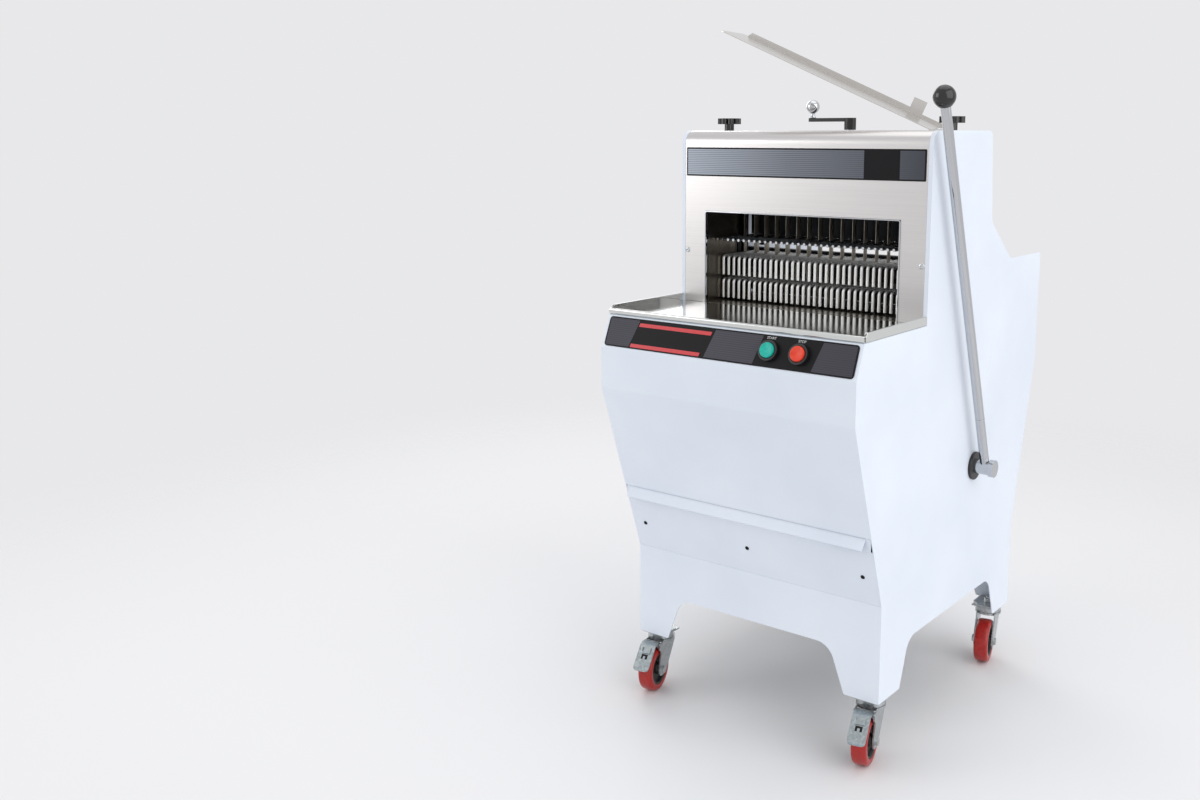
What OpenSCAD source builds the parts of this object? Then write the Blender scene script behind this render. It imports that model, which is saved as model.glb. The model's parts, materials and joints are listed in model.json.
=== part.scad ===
// Bread slicer machine on casters, in millimetres.
// X runs across the machine, Y from its front to its rear, Z up from the floor.

/* [Cabinet] */
// Overall width over the two side panels
body_w = 600; // [580:10:700]
// Thickness of the painted cabinet sheets
sheet_t = 2; // [1.5:0.5:3]
// Height of the leg bottoms above the floor
leg_z = 128; // [124:1:140]
// Height of the upright legs up to the lower fold
apron_h = 204; // [196:1:230]
// Height of the sloping stretch between the two folds
slope_h = 381; // [360:1:420]
// Height of the upright band above the upper fold
band_h = 87; // [70:1:110]
// Height of the leaning control fascia
fascia_h = 66; // [60:1:80]
// Front face of the front legs, measured from the hood front
leg_front = 155; // [140:1:175]
// How far the front bulges out over the legs
belly_out = 128; // [100:1:150]
// How far the fascia leans back
fascia_back = 27; // [15:1:40]
// Rear face of the rear legs, measured from the hood front
leg_rear = 507; // [490:1:540]
// How far the rear bulges out over the legs
rear_out = 97; // [85:1:120]
// Height of the arches between the legs
arch_h = 98; // [80:1:104]
// Radius of the arch corners
arch_r = 42; // [20:1:46]
// Width of a leg at its foot, seen from the side
leg_side_w = 90; // [80:1:110]
// Width of a leg at its foot, seen from the front
leg_face_w = 78; // [74:1:100]
// How much a leg widens from its foot to the arch
leg_flare = 36; // [10:1:50]
// Height of the base plate above the arches
base_gap = 22; // [10:1:28]
// Thickness of the base plate and the leg plates
base_t = 4; // [3:0.5:6]

/* [Tables] */
// Thickness of the stainless table sheets
table_t = 2; // [1.5:0.5:3]
// Height of the side lips of the outfeed tray
tray_lip_h = 17; // [10:1:30]
// Height of the front rim of the outfeed tray
tray_rim_h = 11; // [6:1:20]
// Width of a blade slot in the rear table
slot_w = 4; // [3:0.5:6]

/* [Hood] */
// Height of the hood above the table
hood_h = 377; // [365:1:420]
// Depth of the hood at its roof
hood_d = 286; // [275:1:300]
// How much deeper the hood is at its rear break
hood_lean = 19; // [5:1:25]
// Height of the rear break above the table
break_h = 184; // [170:1:200]
// Depth from the hood front to the foot of the rear notch
notch_d = 420; // [380:1:450]
// Height of the rear cheeks above the table
cheek_h = 97; // [70:1:120]
// Thickness of the hood sheet
hood_t = 1.5; // [1:0.5:3]
// Bend radius of the hood's front roof edge
hood_front_r = 28; // [15:1:35]
// Bend radius of the hood's rear roof edge
hood_rear_r = 18; // [10:1:25]
// Width of the side panels' folded edge beside the hood
hood_edge = 9; // [5:0.5:12]
// Height of the sill under the mouth
mouth_sill = 0; // [0:1:12]
// Height of the mouth
mouth_h = 203; // [180:1:205]
// Height of the label band
label_h = 62; // [40:1:70]
// Gap from the hood roof down to the label band
label_drop = 36; // [36:1:60]

/* [Knives] */
// Pitch of the slices
pitch = 14; // [13:0.5:16]
// Distance from the hood front to the front knife frame
knife_y = 142; // [138:1:146]
// Distance between the two knife frames
knife_gap = 30; // [28:1:34]
// Thickness of a blade
blade_t = 0.8; // [0.6:0.1:1.2]
// Depth of a blade
blade_d = 12; // [10:1:14]
// Half the stroke of a knife frame
knife_e = 15; // [10:1:16]
// Width of a knife frame post
post_w = 14; // [12:1:16]
// Depth of a knife frame bar
bar_d = 20; // [16:1:24]
// Height of a knife frame bar
bar_h = 30; // [24:1:34]
// Height of the crankshaft axis above the base plate
crank_h = 93; // [90:1:98]
// Radius of the crankshaft
shaft_r = 12.5; // [10:0.5:15]
// Radius of the crank pins
pin_r = 11; // [9:0.5:12]
// Distance from the crank bearing in to the middle of the belt
belt_x = 46; // [36:1:56]
// Radius of the driven pulley
driven_r = 80; // [70:1:82]
// Radius of the motor pulley
motor_pulley_r = 32; // [26:1:40]
// Radius of the motor
motor_r = 62; // [50:1:66]
// Length of the motor
motor_len = 220; // [180:5:240]
// Distance from the crankshaft to the motor axis
motor_gap = 243; // [230:1:260]

/* [Pusher] */
// Distance from the hood front to the fingers at rest
finger_y = 65; // [45:1:80]
// Diameter of a finger rod
finger_d = 7; // [5:0.5:8]
// Length of the upright end of a finger
finger_len = 45; // [35:1:47]
// Gap between the table and the lower fingers
finger_lift = 5; // [4:0.5:6]
// Gap between the two finger tiers
tier_gap = 7; // [5:0.5:8]
// Travel of the pusher
stroke = 340; // [280:5:345]
// Radius of the pusher rails
rail_r = 8; // [6:0.5:9]
// Thickness of the carriage side plates
plate_t = 6; // [5:0.5:8]
// Thickness of the drive arms
arm_t = 6; // [5:0.5:8]

/* [Hold-down] */
// Height of the hold-down rods above the table
hold_h = 138; // [136:1:146]
// Radius of a hold-down rod
hold_r = 3; // [2:0.5:3.5]
// How far the hold-down goes down from rest
hold_down_travel = 26; // [10:1:26]
// How far the hold-down goes up from rest
hold_up_travel = 56; // [20:1:56]
// Radius of the adjusting spindle
spindle_r = 8; // [6:0.5:10]
// Distance from the hood front to the spindle
spindle_y = 215; // [213:1:220]
// Length of the hand crank
crank_len = 95; // [70:1:110]
// Radius of the ball on the hand crank
crank_ball_r = 15; // [10:1:18]

/* [Lever] */
// Distance from the hood front to the lever axis
lever_y = 264; // [262:1:275]
// Height of the lever axis above the floor
lever_z = 523; // [518:1:530]
// Radius of the lever shaft
lever_shaft_r = 12; // [10:0.5:14]
// Distance from the lever axis to the middle of the ball
lever_len = 834; // [700:2:860]
// Forward lean of the lever at rest
lever_lean = 19.9; // [10:0.1:25]
// Radius of the lever rod
lever_rod_r = 10; // [7:0.5:12]
// Radius of the lever ball
lever_ball_r = 22; // [18:1:25]
// Distance of the lever rod from the side panel
lever_out = 27; // [24:1:32]

/* [Controls] */
// Offset of the start button from the middle
start_x = 106.6; // [60:0.1:120]
// Offset of the stop button from the middle
stop_x = 173.3; // [165:0.1:220]
// Radius of a button cap
button_r = 15; // [12:0.5:16]
// Travel of a button
button_travel = 4; // [2:0.5:5]
// Inset of the roof star knobs from the side panels
knob_inset = 28; // [28:1:36]
// Distance from the hood front to the roof star knobs
knob_y = 142; // [138:1:148]
// Radius of a star knob
knob_r = 27; // [20:1:27]

/* [Scoop] */
// Tilt of the bagging scoop
scoop_tilt = 24.2; // [15:0.1:25]
// Turn of the scoop towards the front
scoop_turn = 8; // [0:1:12]
// Distance from the hood front to the scoop's foot
scoop_y = 60; // [50:1:70]
// Width of the scoop
scoop_w = 112; // [90:1:120]
// Length of the scoop along its slope
scoop_len = 510; // [400:5:560]
// Sheet thickness of the scoop
scoop_t = 2; // [1.5:0.5:3]
// Height of the scoop's side flange
scoop_flange = 12; // [10:1:20]

/* [Crumb tray] */
// Height of the tray's underside above the floor
crumb_z = 455; // [452:1:460]
// Depth of the tray from front to rear
crumb_d = 445; // [380:1:450]
// Height of the tray's walls
crumb_h = 22; // [15:1:24]

/* [Casters] */
// Wheel radius
wheel_r = 50; // [45:1:51]
// Width of the wheel's tread
wheel_w = 32; // [26:1:34]
// Trail of the wheel behind the swivel axis
trail = 38; // [34:1:40]
// Turn of the casters in the stored pose
caster_turn = 12; // [0:1:30]
// Inset of the swivel axes from the leg faces
caster_inset = 33; // [33:1:38]

/* [Hidden] */
$fn = 48;

// Clearances
run_gap = 0.05;      // radial gap of a running fit
press_gap = 0.02;    // gap of a pressed or bolted joint
seat_gap = 0.3;      // gap between a moving piece and its seat
layer_gap = 4;       // gap between moving layers beside the loaf channel

// Heights of the cabinet's folds, tables and hood
fold_lo = leg_z + apron_h;
fold_hi = fold_lo + slope_h;
fascia_z = fold_hi + band_h;
seat_z = fascia_z + fascia_h;
table_z = seat_z + table_t;
hood_top = table_z + hood_h;
cheek_z = table_z + cheek_h;
break_z = table_z + break_h;
arch_z = leg_z + arch_h;
base_z = arch_z + base_gap;
base_top = base_z + base_t;

// Widths and depths of the cabinet
half = body_w / 2;
inner = half - sheet_t;
belly_y = -leg_front - belly_out;
fascia_y = belly_y + fascia_back;
rear_y = leg_rear + rear_out;
fascia_len = norm([fascia_back, fascia_h]);
fascia_tilt = atan2(fascia_h, fascia_back);
fold_r = 30;
rim_r = 4;

// Layers beside the loaf channel, from the side panel inwards
wall = 3;
rail_x = inner - 1 - wall - rail_r;
block_in = rail_x - rail_r - layer_gap;
plate_in = block_in + layer_gap - plate_t;
arm_in = plate_in - layer_gap - arm_t;
knife_out = arm_in - layer_gap;
post_out = knife_out - 4;
post_in = post_out - post_w;
mouth_half = post_in - 1.6 - table_t;

// Slices, fingers and blades
finger_half_n = floor((mouth_half - 1 - finger_d / 2) / pitch + 0.5);
finger_xs = [for (i = [-finger_half_n : finger_half_n - 1]) (i + 0.5) * pitch];
front_blade_xs = [for (i = [1 - finger_half_n : finger_half_n - 1]) if (abs(i) % 2 == 0) i * pitch];
rear_blade_xs = [for (i = [1 - finger_half_n : finger_half_n - 1]) if (abs(i) % 2 == 1) i * pitch];

// Knife frames and their drive
rear_knife_y = knife_y + knife_gap;
mouth_top = table_z + mouth_sill + mouth_h;
bar_lo = table_z - 80;
bar_hi = mouth_top + 42;
strap_t = 6;
strap_lap = 2;
front_strap_x = post_in + strap_lap - strap_t;
rear_strap_x = post_out - strap_lap;
crank_y = (knife_y + rear_knife_y) / 2;
crank_z = base_top + crank_h;
yoke_room = 1.5;
yoke_w = knife_e + pin_r + yoke_room;
yoke_h = 2 * knife_e + pin_r + yoke_room;
yoke_wall = 12;
post_lo = crank_z + yoke_h + yoke_wall + 2 * knife_e + 6;
beam_top = hood_top - 53;
beam_t = 24;
post_hi = beam_top + 16;
guide_z = lever_z + 37;
guide_t = 30;
motor_y = crank_y + motor_gap;
belt_w = 10;
belt_t = 6;
belt_depth = 7.4;
groove_depth = 8;

// Pusher, its carriage and the lever arms
rod_r = finger_d / 2;
tier_z = [for (k = [0, 1]) table_z + finger_lift + finger_len + k * (finger_len + tier_gap)];
bracket_y = rear_knife_y + bar_d / 2 + 8;
bracket_t = 12;
block_y = bracket_y + bracket_t + layer_gap;
block_len = 34;
block_half = rail_r + 6;
pin_edge = 13;
pin_band = 24;
beam_w = 20;
beam_half = 9;
back_t = 4;
pin_z = table_z - 50;
rail_z = table_z - 78;
arm_h = pin_z - lever_z;
arm_rest = atan(stroke / 2 / arm_h);
arm_reach = norm([arm_h, stroke / 2]);
roller_r = 6;
arm_rate = stroke / 2 / (arm_rest * PI / 180);
arm_mid = acos(sqrt(arm_h / arm_rate));
arm_off = (arm_rate * arm_mid * PI / 180 - arm_h * tan(arm_mid)) * cos(arm_mid);
arm_slot = roller_r + arm_off + 0.6;
carriage_pin_y = lever_y - stroke / 2;

// Hold-down
hold_z = table_z + hold_h;
hold_bar_h = 45;
nut_h = 24;
nut_lo = beam_top - beam_t - 2 - hold_up_travel - nut_h;
guide_rod_r = 6;
guide_rod_x = mouth_half - 10;
guide_rod_lo = hold_z - hold_down_travel + 1;
spindle_lo = nut_lo - hold_down_travel - 2;
hold_rod_end = spindle_y - spindle_r - 3;
hold_reach = 25;
hold_lap = 16;
nut_half = spindle_r + 4;
nut_wall = 6;

// Lever outside the right side panel
collar_t = 6;
lever_x = half + lever_out;
hub_end = lever_x + lever_ball_r;

// Buttons on the fascia, measured out of its sheet
fascia_plate_t = 1.5;
bezel_r = 11;
bezel_flange_r = button_r + 5.5;
bezel_h = 8;
stem_r = 8;
cap_h = 6.4;
cap_seat = fascia_plate_t + button_travel + 2.1;
cap_top = cap_seat + cap_h;

// Roof fittings
knob_x = half - knob_inset;
stud_r = 5;
scoop_x = knob_x - 8;
scoop_foot = [24, 34];      // length and width of the foot on the roof
scoop_low = 8;              // height of the flange beside the foot
scoop_tab = [62, 92, 34];   // start, end and height of the tab on the flange

// Crumb tray and its runners
slope_run = belly_out / slope_h;
crumb_half = front_strap_x - 31;
crumb_top = crumb_z + crumb_h + 5;
crumb_front = front_at(crumb_top) + sheet_t;
crumb_edge = 1;             // gap around the tray's front in the cabinet
runner_out = front_strap_x - 6;

// Casters
caster_x = half - caster_inset;
caster_front_y = caster_inset - leg_front;
caster_rear_y = leg_rear - caster_inset;
caster_at = [
    [-caster_x, caster_front_y], [caster_x, caster_front_y],
    [-caster_x, caster_rear_y], [caster_x, caster_rear_y]
];
head_r = 30;
king_r = 6;
king_nut_h = 9;
king_clip_h = 6;
crown_top = leg_z - 15;
crown_t = 5;
cheek_t = 3;
cheek_in = wheel_w / 2 + 3.5;
axle_r = 5;
pedal_pin_r = 3;
pedal_pivot = [8 - 1.4 * trail, crown_top - 6];

// The stored origin lies on the floor under the middle of the whole machine
cap_y = (belly_y + fascia_y) / 2 - sin(fascia_tilt) * cap_top - cos(fascia_tilt) * button_r;
front_reach = min(cap_y, belly_y, fascia_y - 2);
origin_x = (lever_x + lever_ball_r - half) / 2;
origin_y = (front_reach + rear_y) / 2;

// Y of the sloping front face at a height
function front_at(z) = belly_y + (fold_hi - z) * slope_run;

function unit(v) = v / norm(v);

// Arc that rounds the corner b of radius b[2] between its neighbours a and c
function corner(a, b, c, steps = 8) =
    let (
        p = [b[0], b[1]],
        u = unit([a[0], a[1]] - p),
        v = unit([c[0], c[1]] - p),
        bend = acos(u * v) / 2,
        middle = p + unit(u + v) * b[2] / sin(bend),
        start = p + u * b[2] / tan(bend) - middle,
        stop = p + v * b[2] / tan(bend) - middle,
        from = atan2(start[1], start[0]),
        turn = (atan2(stop[1], stop[0]) - from + 540) % 360 - 180
    )
    b[2] == 0 ? [p] : [for (k = [0 : steps])
        let (a = from + turn * k / steps) middle + b[2] * [cos(a), sin(a)]];

// Closed outline with a radius at each point
function rounded(pts) =
    let (n = len(pts))
    [for (i = [0 : n - 1]) each corner(pts[(i + n - 1) % n], pts[i], pts[(i + 1) % n])];

// Open path with a radius at each inner point
function bent(pts) =
    let (n = len(pts))
    [for (i = [0 : n - 1])
        each i == 0 || i == n - 1 ? [[pts[i][0], pts[i][1]]] : corner(pts[i - 1], pts[i], pts[i + 1])];

// Outline of a sheet of thickness t that lies to the left of a path
function strip(path, t) =
    let (
        n = len(path),
        left = [for (i = [0 : n - 2]) let (d = unit(path[i + 1] - path[i])) [-d[1], d[0]]],
        mitre = [for (i = [0 : n - 1])
            let (a = left[max(i - 1, 0)], b = left[min(i, n - 2)]) (a + b) / (1 + a * b)]
    )
    concat(path, [for (i = [n - 1 : -1 : 0]) path[i] + t * mitre[i]]);

// Moves the whole machine onto its stored origin
module place() {
    translate([-origin_x, -origin_y, 0]) children();
}

// Extrudes a profile drawn in Y and Z from x0 to x1
module across(x0, x1) {
    translate([x0, 0, 0]) rotate([90, 0, 90]) linear_extrude(x1 - x0) children();
}

// Extrudes a profile drawn in X and Z from y0 to y1
module along(y0, y1) {
    translate([0, y1, 0]) rotate([90, 0, 0]) linear_extrude(y1 - y0) children();
}

// Box between two corners
module box(a, b) {
    translate(a) cube(b - a);
}

// Round bars along the three axes
module bar_x(x0, x1, y, z, r) {
    translate([x0, y, z]) rotate([0, 90, 0]) cylinder(h = x1 - x0, r = r);
}

module bar_y(y0, y1, x, z, r) {
    translate([x, y1, z]) rotate([90, 0, 0]) cylinder(h = y1 - y0, r = r);
}

module bar_z(z0, z1, x, y, r) {
    translate([x, y, z0]) cylinder(h = z1 - z0, r = r);
}

// Draws its children on both sides of the middle
module both_sides() {
    children();
    mirror([1, 0, 0]) children();
}

// Local frame on the fascia: Y up its face, Z out of it
module at_fascia(x) {
    translate([x, (belly_y + fascia_y) / 2, fascia_z + fascia_h / 2]) rotate([fascia_tilt, 0, 0]) children();
}

// Cabinet

side_outline = [
    [-leg_front, leg_z, 3], [-leg_front, fold_lo, 20], [belly_y, fold_hi, fold_r],
    [belly_y, fascia_z, rim_r], [fascia_y, seat_z, rim_r], [0, seat_z, 0],
    [0, hood_top, hood_front_r], [hood_d, hood_top, hood_rear_r],
    [hood_d + hood_lean, break_z, 25], [notch_d, cheek_z, 12],
    [rear_y, cheek_z, 10], [rear_y, fold_hi, fold_r], [leg_rear, fold_lo, 20], [leg_rear, leg_z, 3],
    [leg_rear - leg_side_w, leg_z, 3], [leg_rear - leg_side_w - leg_flare, arch_z, arch_r],
    [leg_side_w + leg_flare - leg_front, arch_z, arch_r], [leg_side_w - leg_front, leg_z, 3]
];

// Right side panel: a flat sheet with an edge folded in along the hood
module side_panel() {
    edge = bent([
        [0, seat_z, 0], [0, hood_top, hood_front_r], [hood_d, hood_top, hood_rear_r],
        [hood_back(break_z), break_z, 0]
    ]);
    color("white") {
        across(inner, half) polygon(rounded(side_outline));
        across(half - hood_edge, half) polygon(strip(edge, -sheet_t));
    }
}

module left_side_panel() {
    mirror([1, 0, 0]) side_panel();
}

module right_side_panel() {
    difference() {
        side_panel();
        bar_x(inner - 1, half + 1, lever_y, lever_z, lever_shaft_r + 2);
    }
}

module front_panel() {
    bottom = crumb_top + crumb_edge;
    path = bent([
        [fascia_y + 24, seat_z, 0], [fascia_y, seat_z, rim_r], [belly_y, fascia_z, rim_r],
        [belly_y, fold_hi, fold_r], [front_at(bottom), bottom, 0]
    ]);
    color("white") difference() {
        across(-inner, inner) polygon(strip(path, sheet_t));
        for (x = [start_x, stop_x]) at_fascia(x) cylinder(h = 20, r = bezel_r + run_gap, center = true);
    }
}

module lower_front_panel() {
    top = crumb_z - crumb_edge;
    color("white") across(-inner, inner)
        polygon(strip([[front_at(top), top], [-leg_front, fold_lo]], sheet_t));
}

module apron(y) {
    outline = [
        [-inner, leg_z, 0], [-inner, fold_lo, 0], [inner, fold_lo, 0], [inner, leg_z, 0],
        [half - leg_face_w, leg_z, 3], [half - leg_face_w - leg_flare, arch_z, arch_r],
        [leg_face_w + leg_flare - half, arch_z, arch_r], [leg_face_w - half, leg_z, 3]
    ];
    along(y, y + sheet_t) polygon(rounded(outline));
}

module aprons() {
    color("white") {
        apron(-leg_front);
        difference() {
            apron(leg_rear - sheet_t);
            bar_y(leg_rear - 10, leg_rear + 10, gland_x, gland_z, gland_thread_r + run_gap);
        }
    }
}

module rear_panel() {
    path = bent([
        [leg_rear, fold_lo, 0], [rear_y, fold_hi, fold_r], [rear_y, seat_z, rim_r], [rear_y - 24, seat_z, 0]
    ]);
    color("white") across(-inner, inner) polygon(strip(path, sheet_t));
}

module base_plates() {
    y0 = -leg_front + sheet_t;
    y1 = leg_rear - sheet_t;
    wide = inner - caster_x + head_r + 2;
    long = caster_front_y - y0 + head_r + 2;
    cut = 18;
    outline = [
        [inner, 0], [inner - wide, 0], [inner - wide, long - cut], [inner - wide + cut, long], [inner, long]
    ];
    color("gainsboro") {
        box([-inner, y0, base_z], [inner, y1, base_top]);
        for (i = [0 : 3]) {
            front = caster_at[i][1] < 0;
            difference() {
                translate([0, front ? y0 : y1, leg_z]) scale([sign(caster_at[i][0]), front ? 1 : -1, 1])
                    linear_extrude(base_t) polygon(outline);
                bar_z(leg_z - 1, leg_z + base_t + 1, caster_at[i][0], caster_at[i][1], king_r + run_gap);
            }
        }
    }
}

// Control fascia

module fascia() {
    w = body_w / 2 - 7;
    h = fascia_len / 2 - 4;
    color("#26262a") difference() {
        at_fascia(0) linear_extrude(fascia_plate_t)
            polygon(rounded([[-w, -h, 7], [w, -h, 7], [w, h, 7], [-w, h, 7]]));
        for (x = [start_x, stop_x]) at_fascia(x) cylinder(h = 20, r = bezel_r + run_gap, center = true);
    }
}

module button_bezels() {
    color("#18181a") for (x = [start_x, stop_x]) at_fascia(x) difference() {
        union() {
            translate([0, 0, fascia_plate_t]) cylinder(h = bezel_h, r = bezel_flange_r);
            translate([0, 0, -20]) cylinder(h = 20 + fascia_plate_t + 1, r = bezel_r);
            translate([0, 0, -sheet_t - 6]) cylinder(h = 6, r = bezel_r + 5, $fn = 6);
            translate([-15, -15, -58]) cube([30, 30, 40]);
        }
        translate([0, 0, -30]) cylinder(h = 60, r = stem_r + run_gap);
        translate([0, 0, fascia_plate_t + 1.5]) cylinder(h = 20, r = button_r + 0.6);
    }
}

module button(x) {
    at_fascia(x) {
        translate([0, 0, cap_seat]) cylinder(h = cap_h, r = button_r);
        translate([0, 0, -22]) cylinder(h = 23 + cap_seat, r = stem_r);
    }
}

module start_button() {
    color("#12b5a0") button(start_x);
}

module stop_button() {
    color("#e2402a") button(stop_x);
}

// Hood

function hood_back(z) = hood_d + hood_lean * (hood_top - z) / (hood_top - break_z);
seam_z = hood_top - hood_rear_r - 12;
hood_half = half - hood_edge - seat_gap;
mouth_low = table_z + (mouth_sill > 0 ? mouth_sill : -1);   // open at the foot where there is no sill

module hood_cover() {
    path = bent([
        [hood_back(seam_z), seam_z, 0], [hood_d, hood_top, hood_rear_r],
        [0, hood_top, hood_front_r], [0, table_z, 0]
    ]);
    color("silver") difference() {
        across(-hood_half, hood_half) polygon(strip(path, hood_t));
        box([-mouth_half, -1, mouth_low], [mouth_half, hood_t + 1, mouth_top]);
        bar_z(hood_top - 10, hood_top + 10, 0, spindle_y, spindle_r + 1);
        both_sides() bar_z(hood_top - 10, hood_top + 10, knob_x, knob_y, stud_r + 0.5);
    }
}

module hood_rear() {
    path = [[hood_back(break_z), break_z], [hood_back(seam_z), seam_z]];
    color("white") across(-hood_half, hood_half) polygon(strip(path, hood_t));
}

module label_band() {
    w = hood_half - 4;
    top = hood_top - label_drop;
    color("#3a3a40") box([-w, -1, top - label_h], [w, 0, top]);
}

// Tables and the loaf channel

module feed_channel() {
    end = knife_y - bar_d / 2 - 6;
    out = mouth_half + table_t;
    top = mouth_top + 4;
    outline = [
        [-out, seat_z], [out, seat_z], [out, top], [mouth_half, top],
        [mouth_half, table_z], [-mouth_half, table_z], [-mouth_half, top], [-out, top]
    ];
    color("lightgray") along(hood_t, end) polygon(outline);
}

module outfeed_tray() {
    front = fascia_y - 2;
    lip = table_z + tray_lip_h;
    rim = table_z + tray_rim_h;
    chamfer = 14;
    color("lightgray") {
        box([-half, front + 6, seat_z], [half, 0, table_z]);
        both_sides() along(front + chamfer, 0)
            polygon([[half - table_t, seat_z], [half, seat_z], [half, lip], [half - table_t, lip]]);
        both_sides() across(half - table_t, half)
            polygon([
                [front + 6, seat_z], [front + chamfer, seat_z], [front + chamfer, lip], [front + 6, rim]
            ]);
        across(-half, half) polygon(strip([
            [front + 2, seat_z], [front, seat_z + 2], [front, rim - 3], [front + 3, rim], [front + 6, rim]
        ], -table_t));
        across(-half, half) polygon([
            [front + 2, seat_z], [front + 8, seat_z], [front + 8, table_z], [front + 2, table_z]
        ]);
    }
}

module rear_table() {
    front = knife_y - bar_d / 2 - 4;
    wide = rear_knife_y + bar_d / 2 + 6;
    color("lightgray") difference() {
        union() {
            box([-mouth_half, front, seat_z], [mouth_half, wide + 1, table_z]);
            box([-knife_out, wide, seat_z], [knife_out, rear_y - 3, table_z]);
        }
        for (x = concat(front_blade_xs, rear_blade_xs))
            box([x - slot_w / 2, front - 1, seat_z - 1], [x + slot_w / 2, wide - 4, table_z + 1]);
    }
}

module inner_brackets() {
    color("dimgray") both_sides() {
        box([post_in, bracket_y + 2, guide_z + guide_t], [post_in + 16, bracket_y + bracket_t, seat_z]);
        for (y = [bracket_y, rear_y - 16]) difference() {
            box([block_in + 2, y, rail_z - block_half], [inner, y + bracket_t, rail_z + block_half]);
            bar_y(y - 1, y + bracket_t + 1, rail_x, rail_z, rail_r + run_gap);
        }
    }
}

module pusher_rails() {
    color("silver") both_sides() bar_y(bracket_y, rear_y - 4, rail_x, rail_z, rail_r);
}

// Knife frames, blades and guides

module upper_beam() {
    color("dimgray") difference() {
        box([-inner, knife_y - 24, beam_top - beam_t], [inner, spindle_y + 22, beam_top]);
        for (y = [knife_y, rear_knife_y]) both_sides()
            box([post_in - seat_gap, y - post_w / 2 - seat_gap, beam_top - beam_t - 1],
                [post_out + seat_gap, y + post_w / 2 + seat_gap, beam_top + 1]);
        bar_z(beam_top - beam_t - 1, beam_top + 1, 0, spindle_y, spindle_r + run_gap);
        both_sides() bar_z(beam_top - beam_t - 1, beam_top + 1, knob_x, knob_y, stud_r + run_gap);
    }
    color("silver") both_sides()
        bar_z(guide_rod_lo, beam_top - beam_t, guide_rod_x, spindle_y, guide_rod_r);
}

module guide_blocks() {
    color("ivory") both_sides() difference() {
        box([front_strap_x - 8, knife_y - 17, guide_z], [inner, bracket_y + bracket_t, guide_z + guide_t]);
        for (y = [knife_y, rear_knife_y])
            box([post_in - seat_gap, y - post_w / 2 - seat_gap, guide_z - 1],
                [post_out + seat_gap, y + post_w / 2 + seat_gap, guide_z + guide_t + 1]);
    }
}

// One knife frame: two bars bolted between two posts, and a yoke under each post
module knife_frame(y, strap_x) {
    end = post_in - press_gap;
    for (z = [bar_lo, bar_hi]) box([-end, y - bar_d / 2, z], [end, y + bar_d / 2, z + bar_h]);
    both_sides() {
        box([post_in, y - post_w / 2, post_lo], [post_out, y + post_w / 2, post_hi]);
        box([strap_x, y - post_w / 2, crank_z + yoke_h + 2],
            [strap_x + strap_t, y + post_w / 2, post_lo + 30]);
        difference() {
            box([strap_x, crank_y - yoke_w - yoke_wall, crank_z - yoke_h - yoke_wall],
                [strap_x + strap_t, crank_y + yoke_w + yoke_wall, crank_z + yoke_h + yoke_wall]);
            box([strap_x - 1, crank_y - yoke_w, crank_z - yoke_h],
                [strap_x + strap_t + 1, crank_y + yoke_w, crank_z + yoke_h]);
        }
    }
}

module front_knife_frame() {
    color("slategray") knife_frame(knife_y, front_strap_x);
}

module rear_knife_frame() {
    color("slategray") knife_frame(rear_knife_y, rear_strap_x);
}

module blades(xs, y) {
    color("lightsteelblue") for (x = xs)
        box([x - blade_t / 2, y - blade_d / 2, bar_lo + bar_h], [x + blade_t / 2, y + blade_d / 2, bar_hi]);
}

module front_blades() {
    blades(front_blade_xs, knife_y);
}

module rear_blades() {
    blades(rear_blade_xs, rear_knife_y);
}

// Crankshaft, belt drive and motor

web_r = knife_e + pin_r + 4;
front_web_x = front_strap_x - 12;
mid_web_x = front_strap_x + strap_t + 2;
bearing_x = front_web_x - 28;
bearing_w = 18;
bearing_r = 2 * shaft_r - 1;
drive_x = bearing_x - belt_x;

module crankshaft() {
    color("gray") {
        bar_x(-front_web_x - 2, front_web_x + 2, crank_y, crank_z, shaft_r);
        both_sides() {
            bar_x(front_web_x, front_strap_x - 2, crank_y, crank_z, web_r);
            bar_x(front_strap_x - 3, mid_web_x + 1, crank_y + knife_e, crank_z, pin_r);
            bar_x(mid_web_x, rear_strap_x - 2, crank_y, crank_z, web_r);
            bar_x(rear_strap_x - 3, rear_strap_x + strap_t + 2, crank_y - knife_e, crank_z, pin_r);
        }
    }
}

// Grooved pulley of outer radius r with a bore
module pulley(r, bore) {
    half_w = belt_w / 2 + 5;
    groove = r - groove_depth;
    rotate([0, 90, 0]) rotate_extrude() polygon([
        [bore, -half_w], [r, -half_w], [r, -belt_w / 2 - 1], [groove, -belt_w / 2 - 0.5],
        [groove, belt_w / 2 + 0.5], [r, belt_w / 2 + 1], [r, half_w], [bore, half_w]
    ]);
}

module driven_pulley() {
    color("dimgray") translate([drive_x, crank_y, crank_z]) pulley(driven_r, shaft_r + press_gap);
}

rotor_r = 9.5;
rotor_in = 20;
motor_end = drive_x - 40;

module motor_pulley() {
    color("gray") translate([drive_x, motor_y, crank_z]) {
        pulley(motor_pulley_r, rotor_r + press_gap);
        bar_x(motor_end - rotor_in - drive_x, belt_w / 2 + 12, 0, 0, rotor_r);
    }
}

// Outline of the belt's path around both pulleys, grown outwards
function belt_loop(grow) =
    let (
        r1 = driven_r - belt_depth + grow,
        r2 = motor_pulley_r - belt_depth + grow,
        lean = acos((r1 - r2) / motor_gap)
    )
    concat(
        [for (k = [0 : 32])
            let (a = lean + (360 - 2 * lean) * k / 32) [crank_y + r1 * cos(a), crank_z + r1 * sin(a)]],
        [for (k = [0 : 16])
            let (a = -lean + 2 * lean * k / 16) [motor_y + r2 * cos(a), crank_z + r2 * sin(a)]]
    );

module belt() {
    color("#202020") across(drive_x - belt_w / 2, drive_x + belt_w / 2) difference() {
        polygon(belt_loop(belt_t));
        polygon(belt_loop(0));
    }
}

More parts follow.
